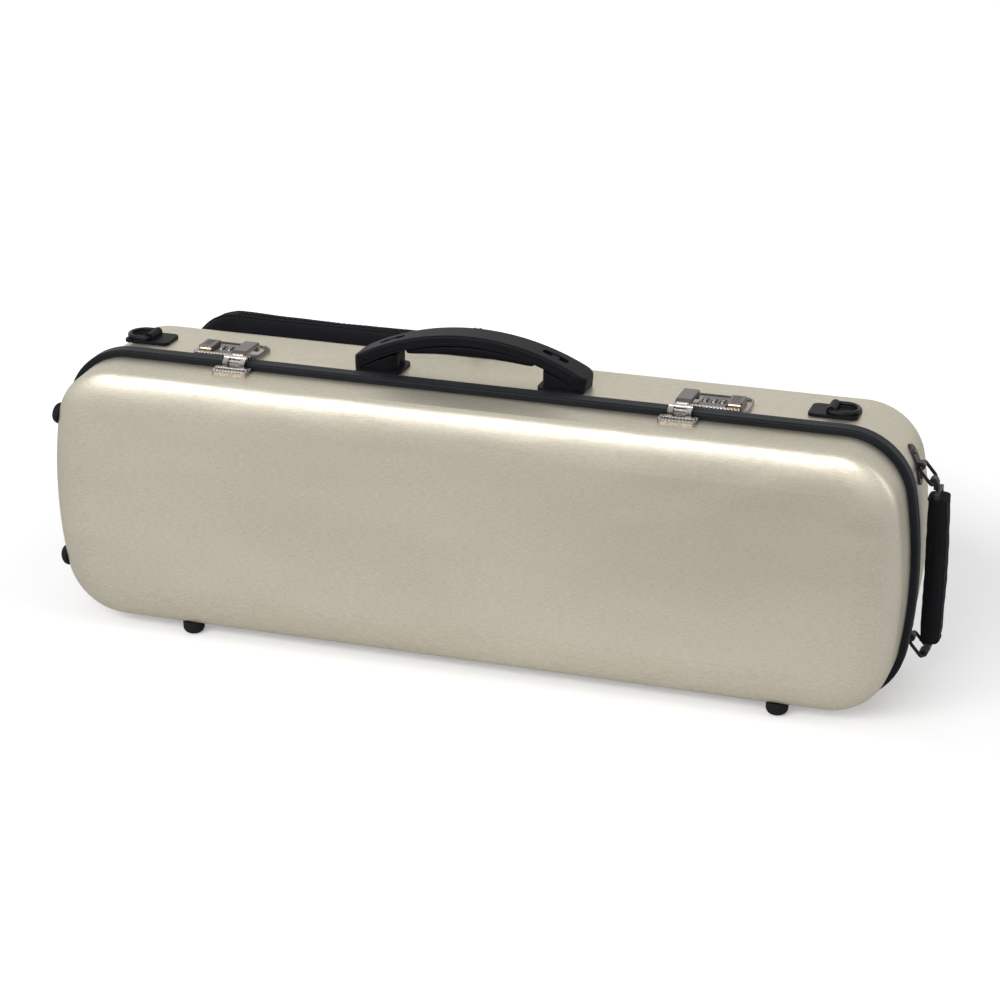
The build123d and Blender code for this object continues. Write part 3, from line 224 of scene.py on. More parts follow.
def woven(name, dark, light, pitch, bump=0.5, sheen=0.15, rough=0.85, ways=("X", "Z")):
    """Cloth with crossing threads of a real pitch."""
    material, tree, shader = tree_of(name)
    threads = []
    for way in ways:
        wave = add_node(tree, "ShaderNodeTexWave", [(coords(tree), "Vector")], bands_direction=way)
        wave.inputs["Scale"].default_value = 0.314 / pitch
        wave.inputs["Distortion"].default_value = 0.6
        wave.inputs["Detail"].default_value = 2.0
        wave.inputs["Detail Scale"].default_value = 0.5
        threads.append(wave.outputs["Fac"])
    weave = math_of(tree, "MAXIMUM", threads[0], threads[1])
    lint = noise_of(tree, 1500, (1, 1, 1), 3, 0.7)
    patch = noise_of(tree, 14, (1, 1, 1), 3, 0.55)
    blend = shared_out(tree, weave, 0.5, lint, 0.25)
    blend = math_of(tree, "ADD", blend, math_of(tree, "MULTIPLY", patch, 0.25))
    tree.links.new(ramp(tree, blend, 0.25, 0.8, dark, light), shader.inputs["Base Color"])
    tree.links.new(ranged(tree, lint, rough - 0.08, rough + 0.08), shader.inputs["Roughness"])
    shader.inputs["Specular IOR Level"].default_value = 0.1
    shader.inputs["Sheen Weight"].default_value = sheen
    shader.inputs["Sheen Roughness"].default_value = 0.4
    bumped(tree, shader, math_of(tree, "ADD", weave, lint), bump, pitch / 3)
    return material


def plush_of(name, dark, light):
    """Short cut pile, with its nap brushed here and there."""
    material, tree, shader = tree_of(name)
    pile = noise_of(tree, 1100, (1, 1, 1), 5, 0.75)
    nap = noise_of(tree, 26, (1, 1, 1), 4, 0.6)
    blend = shared_out(tree, pile, 0.5, nap, 0.5)
    tree.links.new(ramp(tree, blend, 0.32, 0.68, dark, light), shader.inputs["Base Color"])
    tree.links.new(ranged(tree, pile, 0.85, 1.0), shader.inputs["Roughness"])
    shader.inputs["Sheen Weight"].default_value = 0.45
    shader.inputs["Sheen Roughness"].default_value = 0.35
    bumped(tree, shader, blend, 0.6, 0.0006)
    return material


metal = {"distance": 0.0001, "metallic": 1.0}
looks = {
    "shell_brushed": brushed_shell(),
    "trim_rubber": grained(
        "trim_rubber", (0.005, 0.0058, 0.0075), (0.012, 0.0135, 0.0165), 1100, (0.40, 0.55),
        bump=0.3, shine=0.11
    ),
    "black_rubber": grained(
        "black_rubber", (0.005, 0.005, 0.0055), (0.012, 0.012, 0.013), 700, (0.55, 0.75), bump=0.3, shine=0.12
    ),
    "black_plastic": grained(
        "black_plastic", (0.003, 0.003, 0.0042), (0.008, 0.008, 0.0105), 1300, (0.40, 0.56),
        bump=0.4, shine=0.08
    ),
    "soft_pad": grained(
        "soft_pad", (0.0025, 0.0025, 0.0035), (0.007, 0.007, 0.009), 900, (0.40, 0.55), bump=0.15, shine=0.06
    ),
    "gunmetal": grained(
        "gunmetal", (0.055, 0.046, 0.043), (0.17, 0.152, 0.145), 420, (0.22, 0.38),
        bump=0.15, stretch=(1, 5, 1), wear=(0.66, 0.62, 0.58), **metal
    ),
    "nickel": grained(
        "nickel", (0.24, 0.222, 0.208), (0.58, 0.55, 0.515), 380, (0.12, 0.24),
        bump=0.08, stretch=(1, 4, 1), wear=(0.86, 0.83, 0.78), **metal
    ),
    "keeper_plate": grained(
        "keeper_plate", (0.10, 0.090, 0.083), (0.30, 0.275, 0.255), 420, (0.2, 0.36),
        bump=0.15, stretch=(1, 5, 1), wear=(0.8, 0.76, 0.72), **metal
    ),
    "dial": grained("dial", (0.008, 0.008, 0.009), (0.02, 0.02, 0.022), 900, (0.28, 0.4), bump=0.1),
    "steel": grained(
        "steel", (0.30, 0.30, 0.30), (0.50, 0.50, 0.49), 600, (0.25, 0.4),
        bump=0.08, stretch=(4, 1, 1), **metal
    ),
    "black_metal": grained(
        "black_metal", (0.004, 0.004, 0.005), (0.010, 0.010, 0.012), 500, (0.26, 0.4),
        bump=0.1, wear=(0.07, 0.07, 0.075), shine=0.16
    ),
    "webbing": woven(
        "webbing", (0.002, 0.002, 0.0028), (0.009, 0.009, 0.0115), 0.0011, 0.7,
        sheen=0.02, rough=0.75, ways=("Y", "Z")
    ),
    "sleeve_fabric": woven(
        "sleeve_fabric", (0.002, 0.002, 0.0026), (0.008, 0.008, 0.010), 0.0007, 0.5,
        sheen=0.02, rough=0.8, ways=("Y", "Z")
    ),
    "pocket_fabric": woven(
        "pocket_fabric", (0.0022, 0.0022, 0.0032), (0.010, 0.0098, 0.0135), 0.0008, 0.6, sheen=0.03, rough=0.8
    ),
    "plush": plush_of("plush", (0.030, 0.031, 0.036), (0.085, 0.087, 0.096)),
    "brass": grained(
        "brass", (0.55, 0.38, 0.22), (0.80, 0.62, 0.42), 500, (0.16, 0.3), bump=0.08, metallic=1.0
    ),
}
digit_paint = grained("digit_paint", (0.72, 0.71, 0.68), (0.86, 0.85, 0.82), 900, (0.4, 0.5), bump=0.05)

slot_of = {entry["node"]: entry["material_slot"] for entry in frame["record"]["subparts"]}
slot_of.update({"keeper_left": "keeper_plate", "keeper_right": "keeper_plate"})
slot_of["handle_posts"] = "black_plastic"
for node_name, carried in frame["nodes"].items():
    for index in range(max(1, len(carried.material_slots))):
        if not carried.material_slots:
            carried.data.materials.append(None)
        carried.material_slots[index].material = looks[slot_of[node_name]]


# Mesh helpers
def finish_piece(name, mesh, look, body, smooth=True, levels=0):
    made = bpy.data.objects.new(name, mesh)
    bpy.context.scene.collection.objects.link(made)
    made.data.materials.append(looks.get(look, digit_paint))
    for face in made.data.polygons:
        face.use_smooth = smooth
    if levels:
        modifier = made.modifiers.new("smooth", "SUBSURF")
        modifier.levels = levels
        modifier.render_levels = levels
    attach(made, body)
    return made


def mesh_of(name, points, faces):
    mesh = bpy.data.meshes.new(name)
    mesh.from_pydata([tuple(point) for point in points], [], faces)
    mesh.update()
    return mesh


def lofted(name, rings, closed=True, caps=True):
    """A mesh through rings of as many points each."""
    count = len(rings[0])
    points = [point for ring in rings for point in ring]
    faces = []
    for row in range(len(rings) - 1):
        for index in range(count if closed else count - 1):
            after = (index + 1) % count
            start = row * count
            faces.append((start + index, start + after, start + count + after, start + count + index))
    if caps:
        faces.append(tuple(range(count - 1, -1, -1)))
        faces.append(tuple(range((len(rings) - 1) * count, len(rings) * count)))
    return mesh_of(name, points, faces)


def tube(name, path, radius, look, body, sides=10, closed=False, twist=None):
    """A round bead along points; twist is a rope's lay (length of a turn and depth of its strands)."""
    rings = []
    count = len(path)
    travelled = 0.0
    for index, point in enumerate(path):
        before = path[(index - 1) % count] if closed or index else point
        after = path[(index + 1) % count] if closed or index < count - 1 else point
        along = (after - before).normalized()
        side = along.cross(Vector((0, 0, 1)) if abs(along.z) < 0.9 else Vector((0, 1, 0))).normalized()
        up = side.cross(along)
        if index:
            travelled += (point - path[index - 1]).length
        ring = []
        for step in range(sides):
            turn = 2 * math.pi * step / sides
            reach = radius
            if twist:
                lay, strand = twist
                reach *= 1 - strand * (0.5 - 0.5 * math.cos(2 * turn - 4 * math.pi * travelled / lay))
            ring.append(point + side * (reach * math.cos(turn)) + up * (reach * math.sin(turn)))
        rings.append(ring)
    if closed:
        rings.append(rings[0])
    return finish_piece(name, lofted(name, rings, caps=not closed), look, body)


def rounded_ring(width, height, radius, inset, steps=8, straights=10):
    """Points round a rounded rectangle, always in the same order and number."""
    points = []
    least_radius = 0.002
    radius_here = max(radius - inset, least_radius)
    for across, up, start in ((1, 1, 0), (-1, 1, 90), (-1, -1, 180), (1, -1, 270)):
        centre = (across * (width / 2 - inset - radius_here), up * (height / 2 - inset - radius_here))
        for step in range(steps + 1):
            turn = math.radians(start + 90 * step / steps)
            a, b = radius_here * math.cos(turn), radius_here * math.sin(turn)
            points.append((centre[0] + a, centre[1] + b))
    full = []
    for index, point in enumerate(points):
        after = points[(index + 1) % len(points)]
        full.append(point)
        if index % (steps + 1) == steps:
            for step in range(1, straights):
                share = step / straights
                a, b = (after[0] - point[0]) * share, (after[1] - point[1]) * share
                full.append((point[0] + a, point[1] + b))
    return full


def apply_modifiers(made):
    graph = bpy.context.evaluated_depsgraph_get()
    mesh = bpy.data.meshes.new_from_object(made.evaluated_get(graph))
    made.modifiers.clear()
    made.data = mesh


def puff(made, voxel, pressure, cap):
    """Swell a closed form as stuffed cloth, by at most a cap."""
    remesh = made.modifiers.new("remesh", "REMESH")
    remesh.mode = "VOXEL"
    remesh.voxel_size = voxel
    apply_modifiers(made)
    before = [vertex.co.copy() for vertex in made.data.vertices]
    cloth = made.modifiers.new("cloth", "CLOTH")
    cloth.settings.use_pressure = True
    cloth.settings.uniform_pressure_force = pressure
    cloth.settings.effector_weights.gravity = 0
    cloth.settings.quality = 5
    frames = 20
    cloth.point_cache.frame_start = 1
    cloth.point_cache.frame_end = frames
    for step in range(1, frames + 1):
        bpy.context.scene.frame_set(step)
    apply_modifiers(made)
    bpy.context.scene.frame_set(1)
    for vertex, start in zip(made.data.vertices, before):
        moved = vertex.co - start
        if moved.length > cap:
            vertex.co = start + moved.normalized() * cap
    for axis in range(3):
        outer = [place[axis] for place in before]
        inner = [vertex.co[axis] for vertex in made.data.vertices]
        grow = (max(outer) - min(outer)) / (max(inner) - min(inner))
        for vertex in made.data.vertices:
            vertex.co[axis] = min(outer) + (vertex.co[axis] - min(inner)) * grow


def smoothed(made):
    """Smooth shading and one level of subdivision on a puffed piece."""
    for face in made.data.polygons:
        face.use_smooth = True
    modifier = made.modifiers.new("smooth", "SUBSURF")
    modifier.levels = modifier.render_levels = 1


def skin_of(made):
    """The finished skin of a soft piece, for laying seams and zips on it."""
    mesh = made.data
    places = [vertex.co for vertex in mesh.vertices]
    return BVHTree.FromPolygons(places, [face.vertices for face in mesh.polygons])


def settled(skin, path, out=0.0):
    """A path moved onto a skin, and a little out of it."""
    placed = []
    for point in path:
        place, normal, _, _ = skin.find_nearest(point)
        placed.append(place + normal * out)
    return placed


# Linings: plush over foam, with soft lips round every hollow
def box_inside(x, z, x_middle, z_middle, x_half, z_half, radius):
    """Signed distance to a rounded rectangle, negative inside."""
    dx = abs(x - x_middle) - x_half + radius
    dz = abs(z - z_middle) - z_half + radius
    return math.hypot(max(dx, 0), max(dz, 0)) + min(max(dx, dz), 0) - radius


def recess_distance(x, z):
    """Signed distance to the viola's recess: two bouts and a waist, with eased joins."""
    lower_place, lower_radius = 0.268, 0.117
    upper_place, upper_radius = 0.078, 0.095
    waist_half, waist_round = 0.070, 0.004
    lower = math.hypot(x - lower_place, z) - lower_radius
    upper = math.hypot(x - upper_place, z) - upper_radius
    between, half_pitch = (lower_place + upper_place) / 2, (lower_place - upper_place) / 2
    waist = box_inside(x, z, between, 0, half_pitch, waist_half, waist_round)
    first, second = sorted((lower, upper, waist))[:2]
    spread = 0.012
    share = max(0.0, min(1.0, 0.5 + 0.5 * (second - first) / spread))
    return first - spread * share * (1 - share) * 0.6 if share < 1 else first


def sink(distance, depth, lip=0.007):
    """How deep a hollow is at a distance from its edge."""
    share = max(0.0, min(1.0, -distance / lip))
    return depth * share * share * (3 - 2 * share)


panel_low, panel_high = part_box("compartment_panel")
panel_x = (panel_low.x + panel_high.x) / 2 - mid_x
panel_z = (panel_low.z + panel_high.z) / 2 - mid_z


# Hollows of the base lining: middle, half sizes and corner, then depth and the run of the lip
recess_depth = 0.075
neck_hollow, neck_depth = (-0.092, 0, 0.170, 0.028, 0.006), 0.053
panel_seat, panel_seat_depth, panel_seat_lip = (panel_x, panel_z, 0.111, 0.025, 0.003), 0.0055, 0.002
compartment, compartment_depth, compartment_lip = (panel_x, panel_z, 0.105, 0.019, 0.005), 0.065, 0.004
end_bin, end_bin_depth = (-0.3407, 0, 0.056, 0.088, 0.012), 0.065


def lining_depth(x, z):
    rolled_edge, roll_run = 0.006, 0.004
    swell_height, swell_scale = 0.0006, 25
    front = lining_front + rolled_edge * math.exp(-max(edge_distance(x, z) - lining_gap, 0) / roll_run)
    hollow = max(
        sink(recess_distance(x, z), recess_depth),
        sink(box_inside(x, z, *neck_hollow), neck_depth),
        sink(box_inside(x, z, *panel_seat), panel_seat_depth, panel_seat_lip),
        sink(box_inside(x, z, *compartment), compartment_depth, compartment_lip),
        sink(box_inside(x, z, *end_bin), end_bin_depth),
    )
    swell = swell_height * noise.noise(Vector((x * swell_scale, z * swell_scale, 0)))
    return front + hollow + swell


def rim_of(rows, columns):
    """The outer points of a grid, in order round it."""
    wide = columns + 1
    bottom, right = list(range(columns)), [row * wide + columns for row in range(rows)]
    top = [rows * wide + column for column in range(columns, 0, -1)]
    return bottom + right + top + [row * wide for row in range(rows, 0, -1)]


def field(name, rows, columns, depth_at, inset, skirt, body, replaced):
    """A sheet over the case's outline, pushed back by a depth at each place, with a turned-in skirt."""
    points = []
    row_crowding, column_crowding = 0.35, 0.12
    for row in range(rows + 1):
        share = 2 * row / rows - 1
        z = (case_height / 2 - inset) * share * (1 + row_crowding - row_crowding * share * share)
        reach = half_length(z, inset)
        for column in range(columns + 1):
            step = 2 * column / columns - 1
            x = reach * step * (1 + column_crowding - column_crowding * step * step)
            points.append(spot(x, depth_at(x, z), z))
    wide = columns + 1
    faces = []
    for row in range(rows):
        for column in range(columns):
            start = row * wide + column
            faces.append((start, start + wide, start + wide + 1, start + 1))
    edge = rim_of(rows, columns)
    offset = len(points)
    for index in edge:
        points.append(points[index] + Vector((0, skirt, 0)))
    for index in range(len(edge)):
        after = (index + 1) % len(edge)
        faces.append((edge[index], edge[after], offset + after, offset + index))
    made = finish_piece(name, mesh_of(name, points, faces), "plush", body)
    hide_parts(replaced)
    return made


field("plush_base", 150, 420, lining_depth, lining_gap, 0.018, "base", "base_lining")


def lid_lining_depth(x, z):
    """Depth of the lid's quilted lining: a wall, a rounded corner and a flat back."""
    wall_run, wall_start, wall_depth = 0.006, 0.009, 0.0237
    round_run, round_depth, flat_depth = 0.038, 0.014, 0.0467
    quilt_pitch, quilt_height, quilt_start = 0.08, 0.0014, 0.03
    distance = edge_distance(x, z) - lining_gap
    if distance < wall_run:
        deep = wall_start + wall_depth * max(distance, 0) / wall_run
    elif distance < wall_run + round_run:
        turn = math.acos(1 - (distance - wall_run) / round_run)
        deep = wall_start + wall_depth + round_depth * math.sin(turn)
    else:
        deep = flat_depth
    across, up = abs(math.sin(math.pi * x / quilt_pitch)), abs(math.sin(math.pi * z / quilt_pitch))
    inner = max(0.0, min(1.0, (distance - quilt_start) / quilt_start))
    return -(deep - quilt_height * (across * up) ** 0.5 * inner)


field("plush_lid", 110, 320, lid_lining_depth, lining_gap, 0.0, "lid", "lid_lining")


# Compartment panel: a padded board with a ribbon pull
def make_panel():
    low_corner, high_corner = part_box("compartment_panel")
    middle = (low_corner + high_corner) / 2
    width, thick, height = high_corner - low_corner
    rings = []
    corner = 0.004
    back_edge = ((0.006, 1.0), (0.0015, 1.0), (0.0, 0.75))
    padded_front = ((0.0, 0.35), (0.0012, 0.1), (0.006, 0.0), (0.018, -0.08))
    for inset, back in back_edge + padded_front:
        ring = rounded_ring(width, height, corner, inset)
        rings.append([Vector((middle.x + x, low_corner.y + thick * back, middle.z + z)) for x, z in ring])
    name = "padded_panel"
    board = finish_piece(name, lofted(name, rings), "plush", "compartment_panel", levels=1)
    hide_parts("compartment_panel")
    ribbon_reach, ribbon_drop, ribbon_half, ribbon_ply = 0.006, 0.007, 0.006, 0.0007
    ribbon_off, ribbon_height = 0.0008, 0.012
    section = ((-ribbon_half, 0), (ribbon_half, 0), (ribbon_half, -ribbon_ply), (-ribbon_half, -ribbon_ply))
    rings = []
    for step in range(9):
        turn = math.pi * step / 8
        out, down = ribbon_reach * math.sin(turn), -ribbon_drop * (1 - math.cos(turn)) / 2 - 0.0004
        y = low_corner.y - out - ribbon_off
        z = low_corner.z + ribbon_height + down
        rings.append([Vector((middle.x + x, y + t, z + t / 2)) for x, t in section])
    finish_piece("panel_pull", lofted("panel_pull", rings), "webbing", "compartment_panel", smooth=False)


make_panel()


# Neck strap and bow tip loops
def make_neck_strap():
    points, faces = [], []
    length, width, thick = 0.096, 0.032, 0.0014
    place, lift = -0.135, 0.0008
    sag_depth, sag_half, edge_curl = 0.0028, 0.027, 0.0003
    rows, columns = 24, 6
    for layer in (0, 1):
        for row in range(rows + 1):
            z = length * (row / rows - 0.5)
            sag = sag_depth * max(0.0, 1 - (z / sag_half) ** 2)
            for column in range(columns + 1):
                x = place + width * (column / columns - 0.5)
                edge = edge_curl * (abs(2 * column / columns - 1) ** 4)
                y = lining_front - lift - thick * layer + sag + edge
                points.append(spot(x, y, z))
    wide = columns + 1
    count = (rows + 1) * wide
    for row in range(rows):
        for column in range(columns):
            start = row * wide + column
            faces.append((start, start + 1, start + wide + 1, start + wide))
            faces.append((count + start, count + start + wide, count + start + wide + 1, count + start + 1))
    rim = rim_of(rows, columns)
    for index in range(len(rim)):
        after = (index + 1) % len(rim)
        faces.append((rim[after], rim[index], count + rim[index], count + rim[after]))
    strap = finish_piece("neck_band", mesh_of("neck_band", points, faces), "webbing", "base")
    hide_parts("neck_strap")


make_neck_strap()


def make_tip_loops():
    place, length, half_pitch = -0.344, 0.034, 0.031
    width, height, corner, wall = 0.030, 0.017, 0.006, 0.0018
    lid_floor = -0.0462
    for up in (half_pitch, -half_pitch):
        rings = []
        for inset, steps in ((0.0, range(9)), (wall, range(8, -1, -1))):
            for step in steps:
                x = place + length * (step / 8 - 0.5)
                ring = rounded_ring(width, height, corner, inset, 6, 4)
                rings.append([spot(x, lid_floor + height / 2 + b, up + a) for a, b in ring])
        rings.append(rings[0])
        name = "tip_loop_upper" if up > 0 else "tip_loop_lower"
        finish_piece(name, lofted(name, rings, caps=False), "webbing", "lid")
    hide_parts("bow_tip_loops")


make_tip_loops()


# Carry handle's pad: a smooth crowned grip under the strap
handle_x, handle_y = -0.0155, 0.042
strap_radius, crown = 0.232, 0.044


def handle_point(x, y, z):
    """A place over the handle's foot, on the base's tilted top."""
    along = handle_y + y
    tilted = Vector((0, along * tilt.z + z * tilt.y, z * tilt.z - along * tilt.y))
    return spot(handle_x + x, 0, case_height / 2) + tilted


def strap_height(x, radius):
    return crown - strap_radius + math.sqrt(radius**2 - x**2)


def make_grip():
    rings = []
    half, grip_width = 0.063, 0.0268
    strap_thickness, seat_gap = 0.0095, 0.0006
    underside, underside_bow = 0.0225, 0.0038
    side_power, top_power, under_power = 0.55, 0.4, 0.75
    for step in range(41):
        share = 2 * step / 40 - 1
        x = half * math.sin(math.pi / 2 * share)
        end = math.sqrt(max(1 - abs(share) ** 6, 0.02))
        top = strap_height(x, strap_radius - strap_thickness) - seat_gap
        low_here = underside - underside_bow * (x / half) ** 2
        thick = (top - low_here) * (0.35 + 0.65 * end)
        width = grip_width * (0.72 + 0.28 * end)
        ring = []
        for point in range(28):
            turn = 2 * math.pi * point / 28
            a, b = math.cos(turn), math.sin(turn)
            across = math.copysign(abs(a) ** side_power, a) * width / 2
            up = math.copysign(abs(b) ** (top_power if b > 0 else under_power), b) * thick / 2
            ring.append(handle_point(x, across, top - thick / 2 + up))
        rings.append(ring)
    grip = finish_piece("soft_grip", lofted("soft_grip", rings), "soft_pad", "handle", levels=1)
    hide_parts("handle_pad")


make_grip()


# Side handle: webbing turned round both hooks, and a padded sleeve
def make_webbing():
    low_corner, high_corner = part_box("side_strap")
    middle = (low_corner + high_corner) / 2
    half_z = (high_corner.z - low_corner.z) / 2
    half_width, edge_round, ply = 0.0100, 0.0004, 0.0014
    turn_half, turn_rise, turn_start = 0.00385, 0.0027, 0.0028
    profile = []
    for step in range(11):
        turn = math.pi * step / 10
        profile.append((turn_half * math.cos(turn), half_z - turn_start + turn_rise * math.sin(turn)))
    profile.append((-0.0037, half_z - 0.0050))
    profile.append((-ply, half_z - 0.0085))
    side = profile + [(-x, -z) for x, z in profile]
    flat_half = half_width - edge_round
    swelled = 1 + 40 * edge_round
    rings = []
    for y, grow in ((-half_width, 1), (-flat_half, swelled), (flat_half, swelled), (half_width, 1)):
        rings.append([Vector((middle.x + x * grow, middle.y + y, middle.z + z)) for x, z in side])
    band = finish_piece("side_webbing", lofted("side_webbing", rings), "webbing", "side_handle", smooth=False)
    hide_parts("side_strap")
    stitch_half, stitch_start, stitch_pitch, stitch_radius = 0.0085, 0.0095, 0.0007, 0.00022
    for end in (1, -1):
        for row in range(3):
            z = middle.z + end * (half_z - stitch_start - stitch_pitch * row)
            x, y = middle.x + 0.0016, middle.y
            path = [Vector((x, y + stitch_half * (2 * s / 12 - 1), z)) for s in range(13)]
            name = f"side_stitch_{'upper' if end > 0 else 'lower'}_{row}"
            tube(name, path, stitch_radius, "sleeve_fabric", "side_handle", 6)


def make_sleeve():
    low_corner, high_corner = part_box("side_sleeve")
    middle = (low_corner + high_corner) / 2
    half = (high_corner.z - low_corner.z) / 2
    thick, width, corner = 0.0192, 0.0302, 0.0082
    bow_reach, end_gather = 0.0018, 0.05
    inner_x = middle.x - 0.00125

    def bow(share):
        return bow_reach * (1 - share * share)

    rings = []
    for step in range(25):
        share = 2 * step / 24 - 1
        close = 1 - end_gather * abs(share) ** 10
        ring = rounded_ring(thick * close, width * close, corner, 0.0, 6, 4)
        up = middle.z + share * (half - 0.001)
        rings.append([Vector((inner_x + bow(share) + a, middle.y + b, up)) for a, b in ring])
    sleeve = finish_piece("padded_sleeve", lofted("padded_sleeve", rings), "sleeve_fabric", "side_handle")
    puff(sleeve, 0.0024, 3.0, 0.0016)
    crease_depth, edge_crease = 0.0007, 0.0004
    for vertex in sleeve.data.vertices:
        place = vertex.co - middle
        crease = noise.noise(Vector((place.y * 40, place.z * 95, 3.1)))
        vertex.co.x += crease_depth * crease * math.copysign(1, place.x)
        vertex.co.y += edge_crease * noise.noise(Vector((place.x * 90, place.z * 70, 9.2)))
    smoothed(sleeve)
    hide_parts("side_sleeve")
    skin = skin_of(sleeve)
    seam_place, seam_radius = 0.0095, 0.0006
    for index, y in enumerate((-seam_place, seam_place)):
        path = []
        for step in range(49):
            share = 2 * step / 48 - 1
            up = middle.z + share * (half - 0.004)
            path.append(Vector((inner_x + thick / 2 + bow(share), middle.y + y, up)))
        tube(f"sleeve_seam_{index}", settled(skin, path), seam_radius, "sleeve_fabric", "side_handle", 8)
    binding_inset, binding_radius = 0.0030, 0.0011
    for index, end in enumerate((1, -1)):
        ring = rounded_ring(thick - 0.0002, width - 0.0002, corner, 0.0, 6, 5)
        up = middle.z + end * (half - binding_inset)
        path = [Vector((inner_x + a, middle.y + b, up)) for a, b in ring]
        path = settled(skin, path)
        tube(f"sleeve_binding_{index}", path, binding_radius, "webbing", "side_handle", 8, True)


make_webbing()
make_sleeve()


# Music pocket: a padded bag with piping, a zip along its top and a sewn border
pocket_low, pocket_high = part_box("music_pocket")
pocket_middle = (pocket_low + pocket_high) / 2
pocket_start = pocket_low.y
pocket_corner, pocket_margin = 0.053, 0.004
zip_distance, zip_end = 0.0197, 0.056


def pocket_ring(inset, deep, steps, straights):
    """The pocket's outline at a depth behind the case, drawn in by an inset."""
    width = pocket_high.x - pocket_low.x - pocket_margin
    height = pocket_high.z - pocket_low.z - pocket_margin
    ring = rounded_ring(width, height, pocket_corner, inset, steps, straights)
    return [Vector((pocket_middle.x + a, pocket_start + deep, pocket_middle.z + b)) for a, b in ring]


def make_bag():
    sides = [(0.006, 0.0008), (0.0, 0.002), (0.0, 0.010), (0.0, 0.018), (0.0, 0.024), (0.002, 0.0265)]
    front = [(0.006, 0.0285), (0.014, 0.0300), (0.026, 0.0315), (0.045, 0.0327), (0.075, 0.0335)]
    crown = [(0.105, 0.0338)]
    rings = [pocket_ring(inset, deep, 12, 14) for inset, deep in sides + front + crown]
    bag = finish_piece("pocket_bag", lofted("pocket_bag", rings), "pocket_fabric", "base")
    puff(bag, 0.0048, 2.0, 0.0022)
    sewn_depth, loose_run, fold_height, least_gap = 0.004, 0.02, 0.0022, 0.0006
    for vertex in bag.data.vertices:
        place = vertex.co - pocket_middle
        deep = max(0.0, min(1.0, (vertex.co.y - pocket_start - sewn_depth) / loose_run))
        broad = noise.noise(Vector((place.x * 11, place.z * 17, 1.7)))
        fine = noise.noise(Vector((place.x * 34, place.z * 30, 6.1)))
        vertex.co.y += fold_height * (broad + 0.5 * fine) * deep
        vertex.co.y = max(vertex.co.y, pocket_start + least_gap)
    smoothed(bag)
    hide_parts("music_pocket")
    return skin_of(bag)


def make_piping(skin):
    front_piping, back_piping = (0.0015, 0.0275, 0.0016), (0.0, 0.0115, 0.0010)
    for index, (inset, deep, radius) in enumerate((front_piping, back_piping)):
        path = settled(skin, pocket_ring(inset, deep, 16, 30), 0.0002)
        tube(f"pocket_piping_{index}", path, radius, "webbing", "base", 10, True)


def make_zip(skin):
    def top_at(x, y):
        return skin.ray_cast(Vector((x, y, pocket_high.z + 0.02)), Vector((0, 0, -1)))[0].z

    zip_y = pocket_start + zip_distance
    left, right = pocket_low.x + zip_end, pocket_high.x - zip_end
    tooth_pitch, tooth_half, tooth_half_width, tooth_height = 0.0028, 0.0008, 0.0021, 0.0013
    tooth_shift, tooth_sink = 0.0009, 0.0002
    box_faces = ((0, 1, 3, 2), (4, 6, 7, 5), (0, 4, 5, 1), (2, 3, 7, 6), (1, 5, 7, 3), (0, 2, 6, 4))
    points, faces = [], []
    teeth = int((right - left) / tooth_pitch)
    for index in range(teeth):
        x = left + (right - left) * index / teeth
        side = tooth_shift if index % 2 else -tooth_shift
        top = top_at(x, zip_y) - tooth_sink
        corner = len(points)
        for a in (-tooth_half, tooth_half):
            for b in (-tooth_half_width, tooth_half_width):
                for c in (0, tooth_height):
                    points.append(Vector((x + a, zip_y + side + b, top + c)))
        faces += [tuple(corner + k for k in face) for face in box_faces]
    finish_piece("zip_teeth", mesh_of("zip_teeth", points, faces), "black_plastic", "base", smooth=False)
    stitch_shift, stitch_radius, stitch_lay = 0.0085, 0.0005, (0.004, 0.5)
    for index, shift in enumerate((-stitch_shift, stitch_shift)):
        path = [Vector((left + (right - left) * s / 90, zip_y + shift, pocket_high.z)) for s in range(91)]
        path = [Vector((x, y, top_at(x, y) + 0.0001)) for x, y, z in path]
        tube(f"zip_stitch_{index}", path, stitch_radius, "webbing", "base", 6, twist=stitch_lay)


def make_zip_pull():
    slider_low, slider_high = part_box("pocket_slider")
    centre = (slider_low + slider_high) / 2
    pull_width, pull_flare, pull_thickness, pull_length = 0.0052, 0.0015, 0.0014, 0.0160
    slope, droop = 0.0022, 0.0100
    rings = []
    for step in range(12):
        share = step / 11
        ring = rounded_ring(pull_width + pull_flare * share, pull_thickness, 0.0006, 0.0, 4, 2)
        down = slope * share + droop * share**3
        bend = Vector((centre.x - 0.004, slider_high.y + 0.0010 + pull_length * share, slider_high.z - down))
        rings.append([bend + Vector((a, 0, b)) for a, b in ring])
    finish_piece("zip_pull", lofted("zip_pull", rings), "black_metal", "pocket_slider")


bag_skin = make_bag()
make_piping(bag_skin)
make_zip(bag_skin)
make_zip_pull()


# Locks: numbers on the dials, twisted rope borders and a bright push front
def lock_point(x, y, z):
    """A place on the base's tilted top: along the case, behind the parting plane and above the skin."""
    return Vector((mid_x + x, part_y + y * tilt.z + z * tilt.y, shell_top - y * tilt.y + z * tilt.z))


